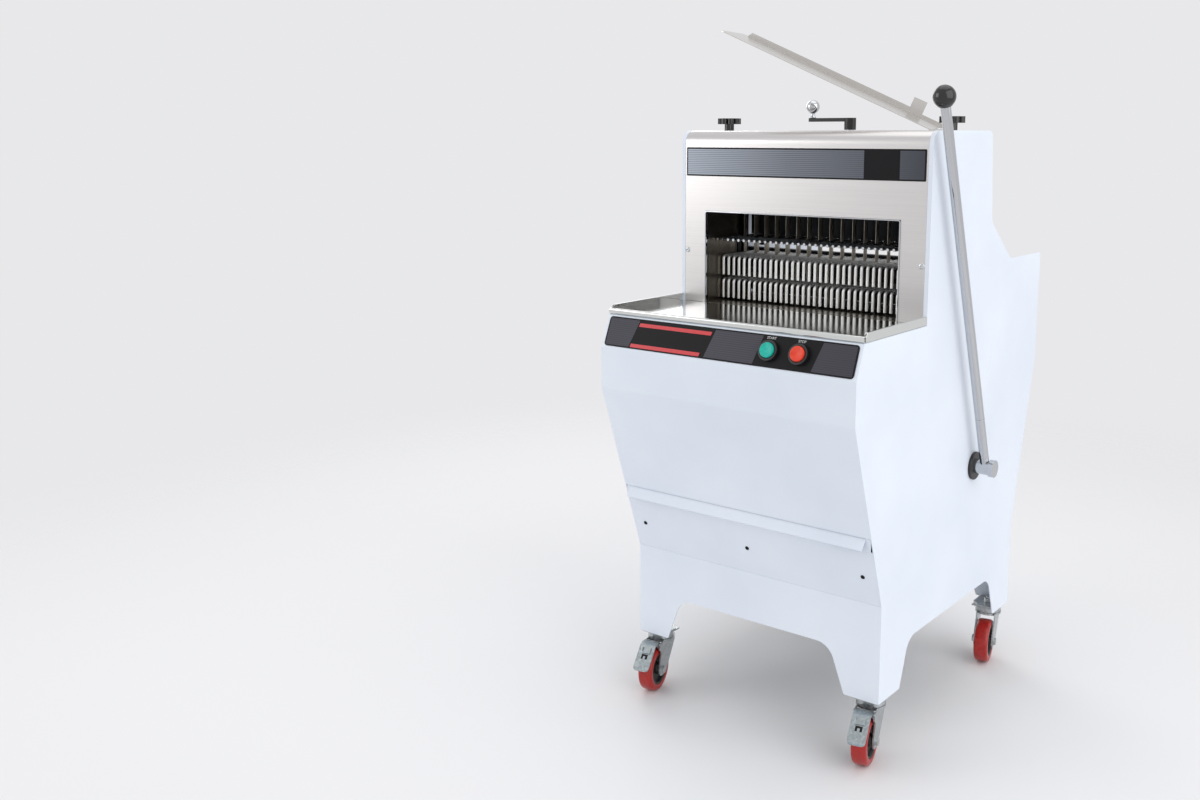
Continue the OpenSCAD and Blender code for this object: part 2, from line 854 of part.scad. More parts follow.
module motor() {
    start = motor_end - motor_len;
    bell = 0.14 * motor_len;
    foot_y = 0.9 * motor_r;
    foot_in = 0.18 * motor_len;
    box_y = 0.5 * motor_r;
    color("royalblue") difference() {
        union() {
            bar_x(start, motor_end, motor_y, crank_z, motor_r);
            bar_x(start + bell, motor_end - bell, motor_y, crank_z, 1.06 * motor_r);
            box([start + foot_in, motor_y - foot_y, base_top],
                [motor_end - foot_in, motor_y + foot_y, crank_z - 0.68 * motor_r]);
            box([start + 0.32 * motor_len, motor_y - box_y, crank_z],
                [start + 0.68 * motor_len, motor_y + box_y, crank_z + 1.35 * motor_r]);
        }
        bar_x(motor_end - rotor_in - 2, motor_end + 1, motor_y, crank_z, rotor_r + run_gap);
    }
}

module bearings() {
    color("gray") both_sides() {
        difference() {
            union() {
                box([bearing_x, crank_y - bearing_r, base_top],
                    [bearing_x + bearing_w, crank_y + bearing_r, crank_z]);
                bar_x(bearing_x, bearing_x + bearing_w, crank_y, crank_z, bearing_r);
            }
            bar_x(bearing_x - 1, bearing_x + bearing_w + 1, crank_y, crank_z, shaft_r + run_gap);
        }
        difference() {
            bar_x(inner - 14, inner, lever_y, lever_z, lever_shaft_r + 14);
            bar_x(inner - 15, inner + 1, lever_y, lever_z, lever_shaft_r + run_gap);
        }
    }
}

// Pusher

// Finger rod: a tail along Y that bends down at its front end
module finger(x, top) {
    bend = rod_r + 4;
    translate([x, finger_y, top - rod_r]) {
        translate([0, bend, 0]) rotate([-90, 0, 0])
            cylinder(h = block_y - finger_y - bend, r = rod_r, $fn = 24);
        translate([0, bend, -bend]) rotate([90, 0, -90]) rotate_extrude(angle = 90, $fn = 24)
            translate([bend, 0]) circle(r = rod_r, $fn = 24);
        translate([0, 0, rod_r - finger_len]) cylinder(h = finger_len - rod_r - bend, r = rod_r, $fn = 24);
    }
}

module pusher_fingers() {
    color("silver") for (x = finger_xs, z = tier_z) finger(x, z);
}

module pusher_carriage() {
    top = tier_z[1] + 5;
    arm_lo = rail_z + block_half + 2;
    arm_hi = arm_lo + pin_band;
    foot = rail_z + rail_r;
    outline = [
        [carriage_pin_y - pin_edge, arm_lo, 8], [block_y, arm_lo, 0], [block_y, foot, 0],
        [block_y + block_len, foot, 0], [block_y + block_len, arm_lo, 0],
        [block_y + beam_w, arm_hi + 6, 10], [block_y + beam_w, top, 4], [block_y, top, 4],
        [block_y, arm_hi, 8], [carriage_pin_y - pin_edge, arm_hi, 8]
    ];
    color("gray") {
        both_sides() {
            across(plate_in, plate_in + plate_t) polygon(rounded(outline));
            difference() {
                box([block_in, block_y, rail_z - block_half],
                    [inner - 1, block_y + block_len, rail_z + block_half]);
                bar_y(block_y - 1, block_y + block_len + 1, rail_x, rail_z, rail_r + run_gap);
            }
            bar_x(arm_in - 2, plate_in + 1, carriage_pin_y, pin_z, roller_r);
        }
        for (z = tier_z)
            box([-plate_in - 1, block_y, z - rod_r - beam_half],
                [plate_in + 1, block_y + beam_w, z - rod_r + beam_half]);
        box([-plate_in - 1, block_y + beam_w - back_t, table_z + finger_lift],
            [plate_in + 1, block_y + beam_w, top]);
    }
}

// Lever and its arms

module lever_shaft() {
    slot_lo = arm_h - roller_r - 4;
    slot_hi = arm_reach + roller_r + 4;
    color("gray") {
        bar_x(4 - inner, hub_end - 4, lever_y, lever_z, lever_shaft_r);
        both_sides() difference() {
            translate([arm_in, lever_y, lever_z]) rotate([arm_rest, 0, 0]) {
                rotate([0, 90, 0]) cylinder(h = arm_t, r = lever_shaft_r + 12);
                across(0, arm_t) difference() {
                    polygon(rounded([
                        [-14, 0, 0], [14, 0, 0], [14, slot_lo - 60, 20], [arm_slot + 6, slot_lo - 24, 20],
                        [arm_slot + 6, slot_hi + 8, 8], [-arm_slot - 6, slot_hi + 8, 8],
                        [-arm_slot - 6, slot_lo - 24, 20], [-14, slot_lo - 60, 20]
                    ]));
                    translate([-arm_slot, slot_lo]) square([2 * arm_slot, slot_hi - slot_lo]);
                }
            }
            bar_x(arm_in - 1, arm_in + arm_t + 1, lever_y, lever_z, lever_shaft_r - 1);
        }
    }
}

module lever_collar() {
    color("#202020") difference() {
        bar_x(half, half + collar_t, lever_y, lever_z, lever_shaft_r + 19);
        bar_x(half - 1, half + collar_t + 1, lever_y, lever_z, lever_shaft_r + run_gap);
    }
}

// Local frame on the lever axis with Z along the lever
module at_lever() {
    translate([lever_x, lever_y, lever_z]) rotate([lever_lean, 0, 0]) children();
}

hub_r = lever_shaft_r + 4;
hub_head_r = hub_r + 3;
hub_head_t = 11;
sleeve_len = 126;
spigot_r = lever_rod_r - 3;
rod_start = lever_shaft_r + 6;
ball_seat = 14;

module lever_hub() {
    color("silver") difference() {
        union() {
            bar_x(half + collar_t + seat_gap, hub_end, lever_y, lever_z, hub_r);
            bar_x(hub_end - hub_head_t, hub_end, lever_y, lever_z, hub_head_r);
            at_lever() cylinder(h = sleeve_len, r = lever_rod_r);
        }
        bar_x(half, hub_end - 4 + press_gap, lever_y, lever_z, lever_shaft_r + press_gap);
        at_lever() translate([0, 0, rod_start]) cylinder(h = sleeve_len, r = spigot_r + press_gap);
    }
}

module lever_rod() {
    shoulder = sleeve_len + press_gap;
    color("silver") at_lever() {
        translate([0, 0, rod_start]) cylinder(h = sleeve_len, r = spigot_r);
        translate([0, 0, shoulder]) cylinder(h = lever_len - ball_seat - shoulder, r = lever_rod_r);
    }
}

module lever_ball() {
    color("#151515") at_lever() difference() {
        translate([0, 0, lever_len]) sphere(r = lever_ball_r);
        translate([0, 0, lever_len - lever_ball_r - 1])
            cylinder(h = lever_ball_r + 1 - ball_seat, r = lever_rod_r + press_gap);
    }
}

// Hold-down and its adjusting screw

module hold_down() {
    front = finger_y - hold_reach;
    y0 = hold_rod_end - hold_lap;
    y1 = spindle_y + nut_half + 3;
    lo = hold_z + hold_r;
    end = guide_rod_x + guide_rod_r + 6;
    side = nut_half + nut_wall;
    color("silver") for (x = finger_xs) bar_y(front, hold_rod_end, x, hold_z, hold_r);
    color("gray") difference() {
        union() {
            box([-end, y0, lo], [end, y1, lo + hold_bar_h]);
            both_sides()
                box([nut_half, spindle_y - nut_half, lo + 1], [side, spindle_y + nut_half, nut_lo + 1]);
            box([-side, spindle_y - nut_half, nut_lo], [side, spindle_y + nut_half, nut_lo + nut_h]);
        }
        bar_z(nut_lo - 1, nut_lo + nut_h + 1, 0, spindle_y, spindle_r + run_gap);
        bar_z(lo - 1, lo + hold_bar_h + 1, 0, spindle_y, spindle_r + 1);
        both_sides() bar_z(lo - 1, lo + hold_bar_h + 1, guide_rod_x, spindle_y, guide_rod_r + run_gap);
    }
}

crank_lift = 28;

module spindle() {
    color("silver") {
        bar_z(spindle_lo, hood_top + crank_lift - 3, 0, spindle_y, spindle_r);
        bar_z(beam_top + seat_gap, beam_top + 6, 0, spindle_y, spindle_r + 6);
    }
}

module hand_crank() {
    w = 9;
    arm = 8;
    color("#1c1c1c") difference() {
        union() {
            bar_z(hood_top + 2, hood_top + crank_lift, 0, spindle_y, spindle_r + 5);
            translate([0, spindle_y, hood_top + crank_lift - arm]) linear_extrude(arm)
                polygon(rounded([[0, -w, 0], [0, w, 0], [-crank_len - w, w, 8], [-crank_len - w, -w, 8]]));
        }
        bar_z(hood_top, hood_top + crank_lift - 3 + press_gap, 0, spindle_y, spindle_r + press_gap);
    }
}

module crank_ball() {
    top = hood_top + crank_lift;
    color("silver") translate([-crank_len, spindle_y, top]) rotate_extrude() polygon(concat(
        [[0, 0], [5, 0]],
        [for (a = [-70 : 10 : 90]) [crank_ball_r * cos(a), 10 + crank_ball_r * (1 + sin(a))]]
    ));
}

module star_knob(x) {
    lobes = 8;
    lobe_r = 0.28 * knob_r;
    color("#181818") translate([x, knob_y, hood_top]) {
        translate([0, 0, 15]) linear_extrude(13) {
            circle(r = knob_r - lobe_r);
            for (i = [0 : lobes - 1])
                rotate(i * 360 / lobes) translate([knob_r - lobe_r, 0]) circle(r = lobe_r);
        }
        translate([0, 0, seat_gap]) cylinder(h = 15, r = 11);
        translate([0, 0, beam_top - beam_t + 4 - hood_top])
            cylinder(h = hood_top - beam_top + beam_t, r = stud_r);
    }
}

module left_star_knob() {
    star_knob(-knob_x);
}

module right_star_knob() {
    star_knob(knob_x);
}

// Bagging scoop on the roof

// Local frame at the scoop's low corner: -X up the scoop, Y across it to the rear
module at_scoop() {
    translate([scoop_x, scoop_y, hood_top]) rotate(scoop_turn) children();
}

module bagging_scoop() {
    end = scoop_len - 12;
    flange = [
        [0, 0], [0, scoop_low], [-scoop_tab[0], scoop_low], [-scoop_tab[0], scoop_tab[2]],
        [-scoop_tab[1], scoop_tab[2]], [-scoop_tab[1], scoop_flange], [8 - end, scoop_flange],
        [-end, scoop_t], [-end, 0]
    ];
    color("silver") at_scoop() {
        rotate([0, scoop_tilt, 0]) {
            linear_extrude(scoop_t) polygon(rounded([
                [0, 0, 0], [0, scoop_w, 0], [-scoop_len, scoop_w, 8], [-scoop_len, 0, 8]
            ]));
            along(scoop_w - scoop_t, scoop_w) polygon(flange);
        }
        box([-2 * scoop_t, 0, 0], [scoop_foot[0], scoop_foot[1], scoop_t]);
    }
}

// Small fasteners: dome heads on the hood, the lower front panel and the scoop's foot
module dome(r = 4.5, h = 2.4) {
    rotate_extrude() polygon([[0, 0], [r, 0], [r, h * 0.4], [r * 0.7, h * 0.85], [0, h]]);
}

module screws() {
    mid = (crumb_z - crumb_edge + fold_lo) / 2;
    color("silver") {
        both_sides() translate([half - 16, 0, table_z + hood_h * 0.304]) rotate([90, 0, 0]) dome();
        for (x = [-1, 0, 1] * (half - 32))
            translate([x, front_at(mid), mid]) rotate([90 + atan(slope_run), 0, 0]) dome();
        at_scoop() for (y = [0.28, 0.74] * scoop_foot[1])
            translate([0.6 * scoop_foot[0], y, scoop_t]) dome(3.5, 2);
    }
}

// Crumb tray and its runners

module crumb_tray() {
    y0 = crumb_front;
    y1 = y0 + crumb_d;
    face = front_at(crumb_top);
    lip = [[y0, crumb_top], [face - 14, crumb_top - 20], [face - 8, crumb_top - 24]];
    lip_half = inner - 12;
    wide = inner - crumb_edge;
    color("white") {
        box([-crumb_half, y0, crumb_z + seat_gap], [crumb_half, y1, crumb_z + seat_gap + sheet_t]);
        both_sides() box([crumb_half - sheet_t, y0, crumb_z + seat_gap], [crumb_half, y1, crumb_z + crumb_h]);
        box([-crumb_half, y1 - sheet_t, crumb_z + seat_gap], [crumb_half, y1, crumb_z + crumb_h]);
        box([-wide, y0, crumb_z + seat_gap], [wide, y0 + sheet_t, crumb_top]);
        intersection() {
            across(-lip_half, lip_half) polygon(strip(lip, sheet_t));
            along(face - 30, y0 + sheet_t) polygon(rounded([
                [-lip_half, crumb_top - 27, 10], [lip_half, crumb_top - 27, 10],
                [lip_half, crumb_top + 5, 0], [-lip_half, crumb_top + 5, 0]
            ]));
        }
    }
}

module tray_runners() {
    y0 = crumb_front + 40;
    y1 = crumb_front + crumb_d + 10;
    color("dimgray") both_sides() {
        box([crumb_half - 20, y0, crumb_z - 3], [runner_out, y1, crumb_z]);
        box([crumb_half + 2, y0, crumb_z - 1], [crumb_half + 4, y1, crumb_z + 12]);
        for (y = [0, y1 - 34]) box([runner_out - 1, y, crumb_z - 3], [inner, y + 34, crumb_z]);
    }
}

// Cable gland in the rear apron

gland_x = -150;
gland_z = base_top + 40;
gland_thread_r = 8;
gland_bore_r = 5;

module cable_gland() {
    color("#2a2a2a") translate([gland_x, leg_rear, gland_z]) rotate([-90, 0, 0]) difference() {
        union() {
            translate([0, 0, -16]) cylinder(h = 20, r = gland_thread_r);
            translate([0, 0, -sheet_t - 5]) cylinder(h = 5, r = 13, $fn = 6);
            cylinder(h = 6, r = 13, $fn = 6);
            cylinder(h = 22, r = 10);
        }
        translate([0, 0, -17]) cylinder(h = 40, r = gland_bore_r);
    }
}

// Casters

module at_caster(i) {
    translate([caster_at[i][0], caster_at[i][1], 0]) rotate(caster_turn) children();
}

module caster_stems() {
    color("silver") for (i = [0 : 3]) at_caster(i) {
        bar_z(crown_top + seat_gap, leg_z - 2, 0, 0, head_r - 1);
        rotate(-caster_turn) box([-head_r, -head_r, leg_z - 3], [head_r, head_r, leg_z]);
        bar_z(crown_top - crown_t - king_clip_h, leg_z + base_t + king_nut_h + 5, 0, 0, king_r);
        bar_z(crown_top - crown_t - king_clip_h, crown_top - crown_t - seat_gap, 0, 0, king_r + 5);
        translate([0, 0, leg_z + base_t]) cylinder(h = king_nut_h, r = 1.8 * king_r, $fn = 6);
    }
}

module caster_fork(i, braked) {
    front = -trail - 16;
    lug_y = pedal_pivot[0] - 7;
    lug = braked
        ? [[-trail - 5, crown_top - 22, 6], [lug_y, crown_top - 14, 4], [lug_y, crown_top, 3]]
        : [[-trail + 4, crown_top - 14, 6], [-trail + 8, crown_top, 0]];
    outline = concat([
        [26, crown_top, 0], [26, crown_top - 15, 6], [16 - trail, wheel_r - 14, 12],
        [front, wheel_r - 14, 12], [front, wheel_r + 10, 10]
    ], lug);
    color("silver") at_caster(i) {
        difference() {
            bar_z(crown_top - crown_t, crown_top, 0, 0, head_r);
            bar_z(crown_top - crown_t - 1, crown_top + 1, 0, 0, king_r + run_gap);
        }
        both_sides() difference() {
            across(cheek_in, cheek_in + cheek_t) polygon(rounded(outline));
            bar_x(cheek_in - 1, cheek_in + cheek_t + 1, -trail, wheel_r, axle_r - 1);
        }
        bar_x(-cheek_in - cheek_t - 5, cheek_in + cheek_t + 5, -trail, wheel_r, axle_r);
        both_sides() translate([cheek_in + cheek_t, -trail, wheel_r]) rotate([0, 90, 0])
            cylinder(h = 5, r = 9, $fn = 6);
        if (braked) bar_x(-cheek_in - 1, cheek_in + 1, pedal_pivot[0], pedal_pivot[1], pedal_pin_r);
    }
}

module caster_wheel(i) {
    tread = wheel_w / 2;
    core = wheel_r - 14;
    hub = 13;
    web = 8;
    side = [
        [axle_r + run_gap, tread + 1], [hub, tread + 1], [hub, web], [core - 5, web], [core - 5, tread - 1],
        [core, tread - 1], [core, tread], [wheel_r - 5, tread], [wheel_r - 1.5, tread - 1.5],
        [wheel_r, tread - 5]
    ];
    other = [for (k = [len(side) - 1 : -1 : 0]) [side[k][0], -side[k][1]]];
    color("#c8281e") at_caster(i) translate([0, -trail, wheel_r]) rotate([0, 90, 0])
        rotate_extrude() polygon(concat(side, other));
}

module caster_pedal(i) {
    y = pedal_pivot[0];
    z = pedal_pivot[1];
    barrel_r = pedal_pin_r + 3;
    arm = cheek_in - 1;
    knee = [y - 21, z + 8];
    toe = [y - 60, z - 33];
    window = (knee + toe) / 2;
    color("lightslategray") at_caster(i) difference() {
        union() {
            bar_x(-arm, arm, y, z, barrel_r);
            across(-arm, arm) polygon(strip(bent([
                [y + 4, z + 8, 0], [knee[0], knee[1], 8], [toe[0], toe[1], 8], [toe[0] - 5, toe[1] - 2, 0]
            ]), 3));
        }
        bar_x(-arm - 1, arm + 1, y, z, pedal_pin_r + run_gap);
        translate([0, window[0], window[1]]) rotate([atan2(knee[1] - toe[1], knee[0] - toe[0]), 0, 0])
            cube([arm * 0.8, 11, 20], center = true);
    }
}

place() left_side_panel();
place() right_side_panel();
place() front_panel();
place() lower_front_panel();
place() aprons();
place() rear_panel();
place() base_plates();
place() caster_stems();
place() fascia();
place() button_bezels();
place() screws();
place() hood_cover();
place() hood_rear();
place() label_band();
place() feed_channel();
place() outfeed_tray();
place() rear_table();
place() inner_brackets();
place() bagging_scoop();
place() upper_beam();
place() guide_blocks();
place() motor();
place() belt();
place() bearings();
place() pusher_rails();
place() lever_collar();
place() tray_runners();
place() cable_gland();
place() front_knife_frame();
place() front_blades();
place() rear_knife_frame();
place() rear_blades();
place() crankshaft();
place() driven_pulley();
place() motor_pulley();
place() hold_down();
place() spindle();
place() hand_crank();
place() crank_ball();
place() left_star_knob();
place() right_star_knob();
place() pusher_fingers();
place() pusher_carriage();
place() lever_shaft();
place() lever_hub();
place() lever_rod();
place() lever_ball();
place() start_button();
place() stop_button();
place() crumb_tray();
place() caster_fork(0, true);  // front_left_fork
place() caster_fork(1, true);  // front_right_fork
place() caster_fork(2, false);  // rear_left_fork
place() caster_fork(3, false);  // rear_right_fork
place() caster_wheel(0);  // front_left_wheel
place() caster_wheel(1);  // front_right_wheel
place() caster_wheel(2);  // rear_left_wheel
place() caster_wheel(3);  // rear_right_wheel
place() caster_pedal(0);  // front_left_pedal
place() caster_pedal(1);  // front_right_pedal
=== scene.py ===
import json
import math
import bpy
from mathutils import Matrix, Vector

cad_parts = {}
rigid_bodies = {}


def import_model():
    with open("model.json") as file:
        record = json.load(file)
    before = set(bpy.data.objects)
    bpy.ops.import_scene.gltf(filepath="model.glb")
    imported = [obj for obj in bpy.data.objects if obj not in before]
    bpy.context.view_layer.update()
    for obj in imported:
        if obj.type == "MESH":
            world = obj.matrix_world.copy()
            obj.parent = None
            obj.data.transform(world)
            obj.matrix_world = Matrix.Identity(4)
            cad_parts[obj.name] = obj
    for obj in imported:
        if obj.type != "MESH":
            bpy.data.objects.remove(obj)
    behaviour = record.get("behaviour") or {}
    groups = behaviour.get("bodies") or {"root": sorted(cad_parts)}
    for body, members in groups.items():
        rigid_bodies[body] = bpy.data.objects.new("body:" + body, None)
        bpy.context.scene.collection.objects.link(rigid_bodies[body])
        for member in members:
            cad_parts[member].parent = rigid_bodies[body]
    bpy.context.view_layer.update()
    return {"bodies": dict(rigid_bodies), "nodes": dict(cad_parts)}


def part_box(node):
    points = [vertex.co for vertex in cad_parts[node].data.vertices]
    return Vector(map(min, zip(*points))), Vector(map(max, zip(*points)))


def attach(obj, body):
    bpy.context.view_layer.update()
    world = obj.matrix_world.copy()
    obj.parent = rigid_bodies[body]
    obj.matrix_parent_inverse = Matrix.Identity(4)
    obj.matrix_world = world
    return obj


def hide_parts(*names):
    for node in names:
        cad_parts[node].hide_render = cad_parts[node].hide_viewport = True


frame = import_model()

nodes = frame["nodes"]
bodyOf = {name: body for name, piece in nodes.items()
          for body, empty in frame["bodies"].items() if piece.parent == empty}

# places below are in mm: X from the middle, Y from the hood front, Z from the floor
mm = 0.001
cabinetLook = {"half": 300}
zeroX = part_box("left_side_panel")[0].x + cabinetLook["half"] * mm
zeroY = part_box("hood_cover")[0].y


def at(x, y, z):
    return Vector((zeroX + x * mm, zeroY + y * mm, z * mm))


# working tools: lengths in m, angles in degrees
toolLook = {
    "weld": 1e-6,         # points nearer than this are one
    "nodeWeld": 2e-6,     # the same for a node's loose triangles
    "level": 0.6,         # a node's triangles that bend less than this are one face
    "fold": 50,           # made edges sharper than this are softened
    "nodeFold": 30,       # the same for a node's edges
    "rounds": 2,          # steps across a softened edge
    "nodeSmooth": 40,     # a node is shaded smooth over bends below this
    "weight": 60,         # how far broad faces lead the shading of the bends beside them
}


def clearPick():
    if bpy.context.mode != "OBJECT":
        bpy.ops.object.mode_set(mode="OBJECT")
    bpy.ops.object.select_all(action="DESELECT")


def pick(piece):
    clearPick()
    piece.select_set(True)
    bpy.context.view_layer.objects.active = piece


def editAll(piece):
    pick(piece)
    bpy.ops.object.mode_set(mode="EDIT")
    bpy.ops.mesh.select_all(action="SELECT")


def pickFaces(piece, test):
    editAll(piece)
    bpy.ops.mesh.select_mode(type="FACE")
    bpy.ops.mesh.select_all(action="DESELECT")
    bpy.ops.object.mode_set(mode="OBJECT")
    for face in piece.data.polygons:
        face.select = test(face.center, face.normal)
    bpy.ops.object.mode_set(mode="EDIT")


# ends an edit with all faces outwards; double points are merged first where there are any
def closeMesh(weld=False):
    bpy.ops.mesh.select_all(action="SELECT")
    if weld:
        bpy.ops.mesh.remove_doubles(threshold=toolLook["weld"])
    bpy.ops.mesh.normals_make_consistent(inside=False)
    bpy.ops.object.mode_set(mode="OBJECT")


def useModifier(piece, kind, **settings):
    pick(piece)
    modifier = piece.modifiers.new(kind.title(), kind)
    for key, value in settings.items():
        setattr(modifier, key, value)
    bpy.ops.object.modifier_apply(modifier=modifier.name)


def softenEdges(piece, width, angle):
    useModifier(piece, "BEVEL", width=width * mm, segments=toolLook["rounds"], limit_method="ANGLE",
                angle_limit=math.radians(angle), use_clamp_overlap=True)


# points on an arc, degrees from the first axis towards the second; tall makes it an ellipse
def arc(middle, radius, first, last, steps, tall=None):
    angles = [math.radians(first + (last - first) * k / steps) for k in range(steps + 1)]
    return [(middle[0] + radius * math.cos(a), middle[1] + (tall or radius) * math.sin(a)) for a in angles]


# open line of points in mm, drawn vertex by vertex; left in edit mode
def drawLine(name, points):
    clearPick()
    bpy.ops.mesh.primitive_plane_add(size=mm)
    piece = bpy.context.object
    piece.name = name
    bpy.ops.object.mode_set(mode="EDIT")
    bpy.ops.mesh.select_mode(type="VERT")
    bpy.ops.mesh.merge(type="CENTER")
    bpy.ops.transform.translate(value=Vector(points[0]) * mm)
    for start, stop in zip(points, points[1:]):
        step = (Vector(stop) - Vector(start)) * mm
        bpy.ops.mesh.extrude_vertices_move(TRANSFORM_OT_translate={"value": step})
    return piece


# flat outline in X and Y, corners rounded, raised to a thickness
def cutShape(name, outline, thickness, corner, steps=4):
    piece = drawLine(name, [(x, y, 0) for x, y in outline + outline[:1]])
    bpy.ops.mesh.select_all(action="SELECT")
    bpy.ops.mesh.remove_doubles(threshold=toolLook["weld"])
    bpy.ops.mesh.edge_face_add()
    bpy.ops.mesh.bevel(offset=corner * mm, segments=steps, affect="VERTICES")
    bpy.ops.mesh.select_all(action="SELECT")
    bpy.ops.mesh.extrude_region_move(TRANSFORM_OT_translate={"value": (0, 0, thickness * mm)})
    closeMesh()
    return piece


def cutPlate(name, left, right, low, high, thickness, corner, steps=4):
    outline = [(left, low), (right, low), (right, high), (left, high)]
    return cutShape(name, outline, thickness, corner, steps)


# profile of (radius, height) turned about Z
def turnProfile(name, profile, steps):
    piece = drawLine(name, [(r, 0, h) for r, h in profile])
    bpy.ops.mesh.select_all(action="SELECT")
    bpy.ops.mesh.spin(steps=steps, angle=2 * math.pi, center=(0, 0, 0), axis=(0, 0, 1))
    closeMesh(weld=True)
    return piece


# sheet: a line of points drawn out along a step, given its wall and softened edges
def foldSheet(name, points, step, wall, soft):
    piece = drawLine(name, points)
    bpy.ops.mesh.select_all(action="SELECT")
    bpy.ops.mesh.extrude_region_move(TRANSFORM_OT_translate={"value": Vector(step) * mm})
    useModifier(piece, "SOLIDIFY", thickness=wall * mm, offset=0.0, use_even_offset=True)
    softenEdges(piece, soft, toolLook["fold"])
    return piece


# turns a piece about X, then Y, then Z, and moves it to its place
def turnTo(piece, place=(0, 0, 0), x=0.0, y=0.0, z=0.0):
    pick(piece)
    matrix = Matrix.Translation(place)
    for angle, axis in ((z, "Z"), (y, "Y"), (x, "X")):
        matrix = matrix @ Matrix.Rotation(math.radians(angle), 4, axis)
    piece.matrix_world = matrix
    bpy.ops.object.transform_apply(location=True, rotation=True, scale=True)
    return piece


def copyPiece(piece, name):
    twin = piece.copy()
    twin.data = piece.data.copy()
    twin.name = name
    bpy.context.scene.collection.objects.link(twin)
    return twin


# a node's or a corner's name as one word
def joinName(name):
    first, *others = name.split("_")
    return first + "".join(word.title() for word in others)


def finishPiece(piece, body, material, stands=(), angle=35, flat=False):
    pick(piece)
    bpy.ops.object.shade_smooth_by_angle(angle=math.radians(angle))
    if flat:    # broad faces stay flat beside their bends
        useModifier(piece, "WEIGHTED_NORMAL", weight=toolLook["weight"], keep_sharp=True)
    piece.data.materials.clear()
    piece.data.materials.append(material)
    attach(piece, body)
    if stands:
        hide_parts(*stands)
    return piece


# copy of a node with its edges softened as a press or mould leaves them
def softenNode(name, material, width, title=None, drop=None, trim=None):
    piece = bpy.data.objects.new(title or joinName(name), nodes[name].data.copy())
    bpy.context.scene.collection.objects.link(piece)
    if drop:    # faces that another piece shows
        pickFaces(piece, drop)
        bpy.ops.mesh.delete(type="FACE")
    editAll(piece)
    bpy.ops.mesh.remove_doubles(threshold=toolLook["nodeWeld"])
    bpy.ops.mesh.dissolve_limited(angle_limit=math.radians(toolLook["level"]))
    bpy.ops.mesh.vert_connect_concave()
    clearPick()
    if trim:    # a block whose outline crops the copy
        useModifier(piece, "BOOLEAN", operation="INTERSECT", solver="EXACT", object=trim)
    if width:
        softenEdges(piece, width, toolLook["nodeFold"])
    return finishPiece(piece, bodyOf[name], material, [name], toolLook["nodeSmooth"], flat=True)


# materials

def linear(hexText):
    parts = [int(hexText[i:i + 2], 16) / 255 for i in (1, 3, 5)]
    return [c / 12.92 if c <= 0.04045 else ((c + 0.055) / 1.055) ** 2.4 for c in parts] + [1.0]


def startMaterial(name, hexText, metallic, roughness, **sockets):
    material = bpy.data.materials.new(name)
    material.use_nodes = True
    shader = material.node_tree.nodes["Principled BSDF"]
    shader.inputs["Base Color"].default_value = linear(hexText)
    shader.inputs["Metallic"].default_value = metallic
    shader.inputs["Roughness"].default_value = roughness
    for key, value in sockets.items():
        shader.inputs[key.replace("_", " ")].default_value = value
    return material, shader


# adds one node with its settings, its input values or links, what its outputs feed and any colour stops
def addNode(material, kind, settings=None, inputs=None, feeds=None, stops=()):
    tree = material.node_tree
    node = tree.nodes.new(kind)
    for key, value in (settings or {}).items():
        setattr(node, key, value)
    for key, value in (inputs or {}).items():
        if isinstance(value, bpy.types.NodeSocket):
            tree.links.new(value, node.inputs[key])
        else:
            node.inputs[key].default_value = value
    for key, target in (feeds or {}).items():
        tree.links.new(node.outputs[key], target)
    for extra in stops[2:]:     # a new ramp has two stops
        node.color_ramp.elements.new(0.5)
    for i, (place, hexText) in enumerate(stops):
        node.color_ramp.elements[i].position = place
        node.color_ramp.elements[i].color = linear(hexText)
    return node


# one pattern drives a finish: its tint, its roughness and its relief, with the relief's height in mm
def usePattern(material, shader, pattern, stops=(), rough=None, span=(0.0, 1.0), relief=0.0, height=0.3):
    if stops:
        addNode(material, "ShaderNodeValToRGB", None, {"Fac": pattern},
                {"Color": shader.inputs["Base Color"]}, stops)
    if rough:
        addNode(material, "ShaderNodeMapRange", None,
                {"Value": pattern, "From Min": span[0], "From Max": span[1],
                 "To Min": rough[0], "To Max": rough[1]}, {"Result": shader.inputs["Roughness"]})
    if relief:
        addNode(material, "ShaderNodeBump", None,
                {"Height": pattern, "Strength": relief, "Distance": height * mm},
                {"Normal": shader.inputs["Normal"]})


# polyester powder coat: baked on, satin, with a fine orange peel that breaks up reflections
paintLook = {
    "tints": ((0.3, "#DEE6F2"), (0.7, "#E7EEF8")), "rough": (0.36, 0.5), "mean": 0.42,
    "cloud": 260,                   # mm, slow change over a panel
    "grain": 3.5,                   # mm; the real 1 mm peel is too fine to show
    "relief": 0.16, "height": 0.6,
}


def makePowderCoat(name):
    look = paintLook
    material, shader = startMaterial(name, look["tints"][1][1], 0.0, look["mean"], IOR=1.5)
    coords = addNode(material, "ShaderNodeTexCoord")
    cloud = addNode(material, "ShaderNodeTexNoise", None,
                    {"Vector": coords.outputs["Object"], "Scale": 1 / (look["cloud"] * mm), "Detail": 3.0})
    grain = addNode(material, "ShaderNodeTexNoise", None,
                    {"Vector": coords.outputs["Object"], "Scale": 1 / (look["grain"] * mm), "Detail": 2.0})
    usePattern(material, shader, cloud.outputs["Fac"], look["tints"])
    usePattern(material, shader, grain.outputs["Fac"], rough=look["rough"],
               relief=look["relief"], height=look["height"])
    return material


# stainless sheet, belt ground: long fine lines along X that stretch reflections across them
brushLook = {
    "line": (180, 0.9, 0.9),        # mm along X, Y and Z; the real 0.1 mm lines are too fine to show
    "stops": (0.3, 0.7),
}


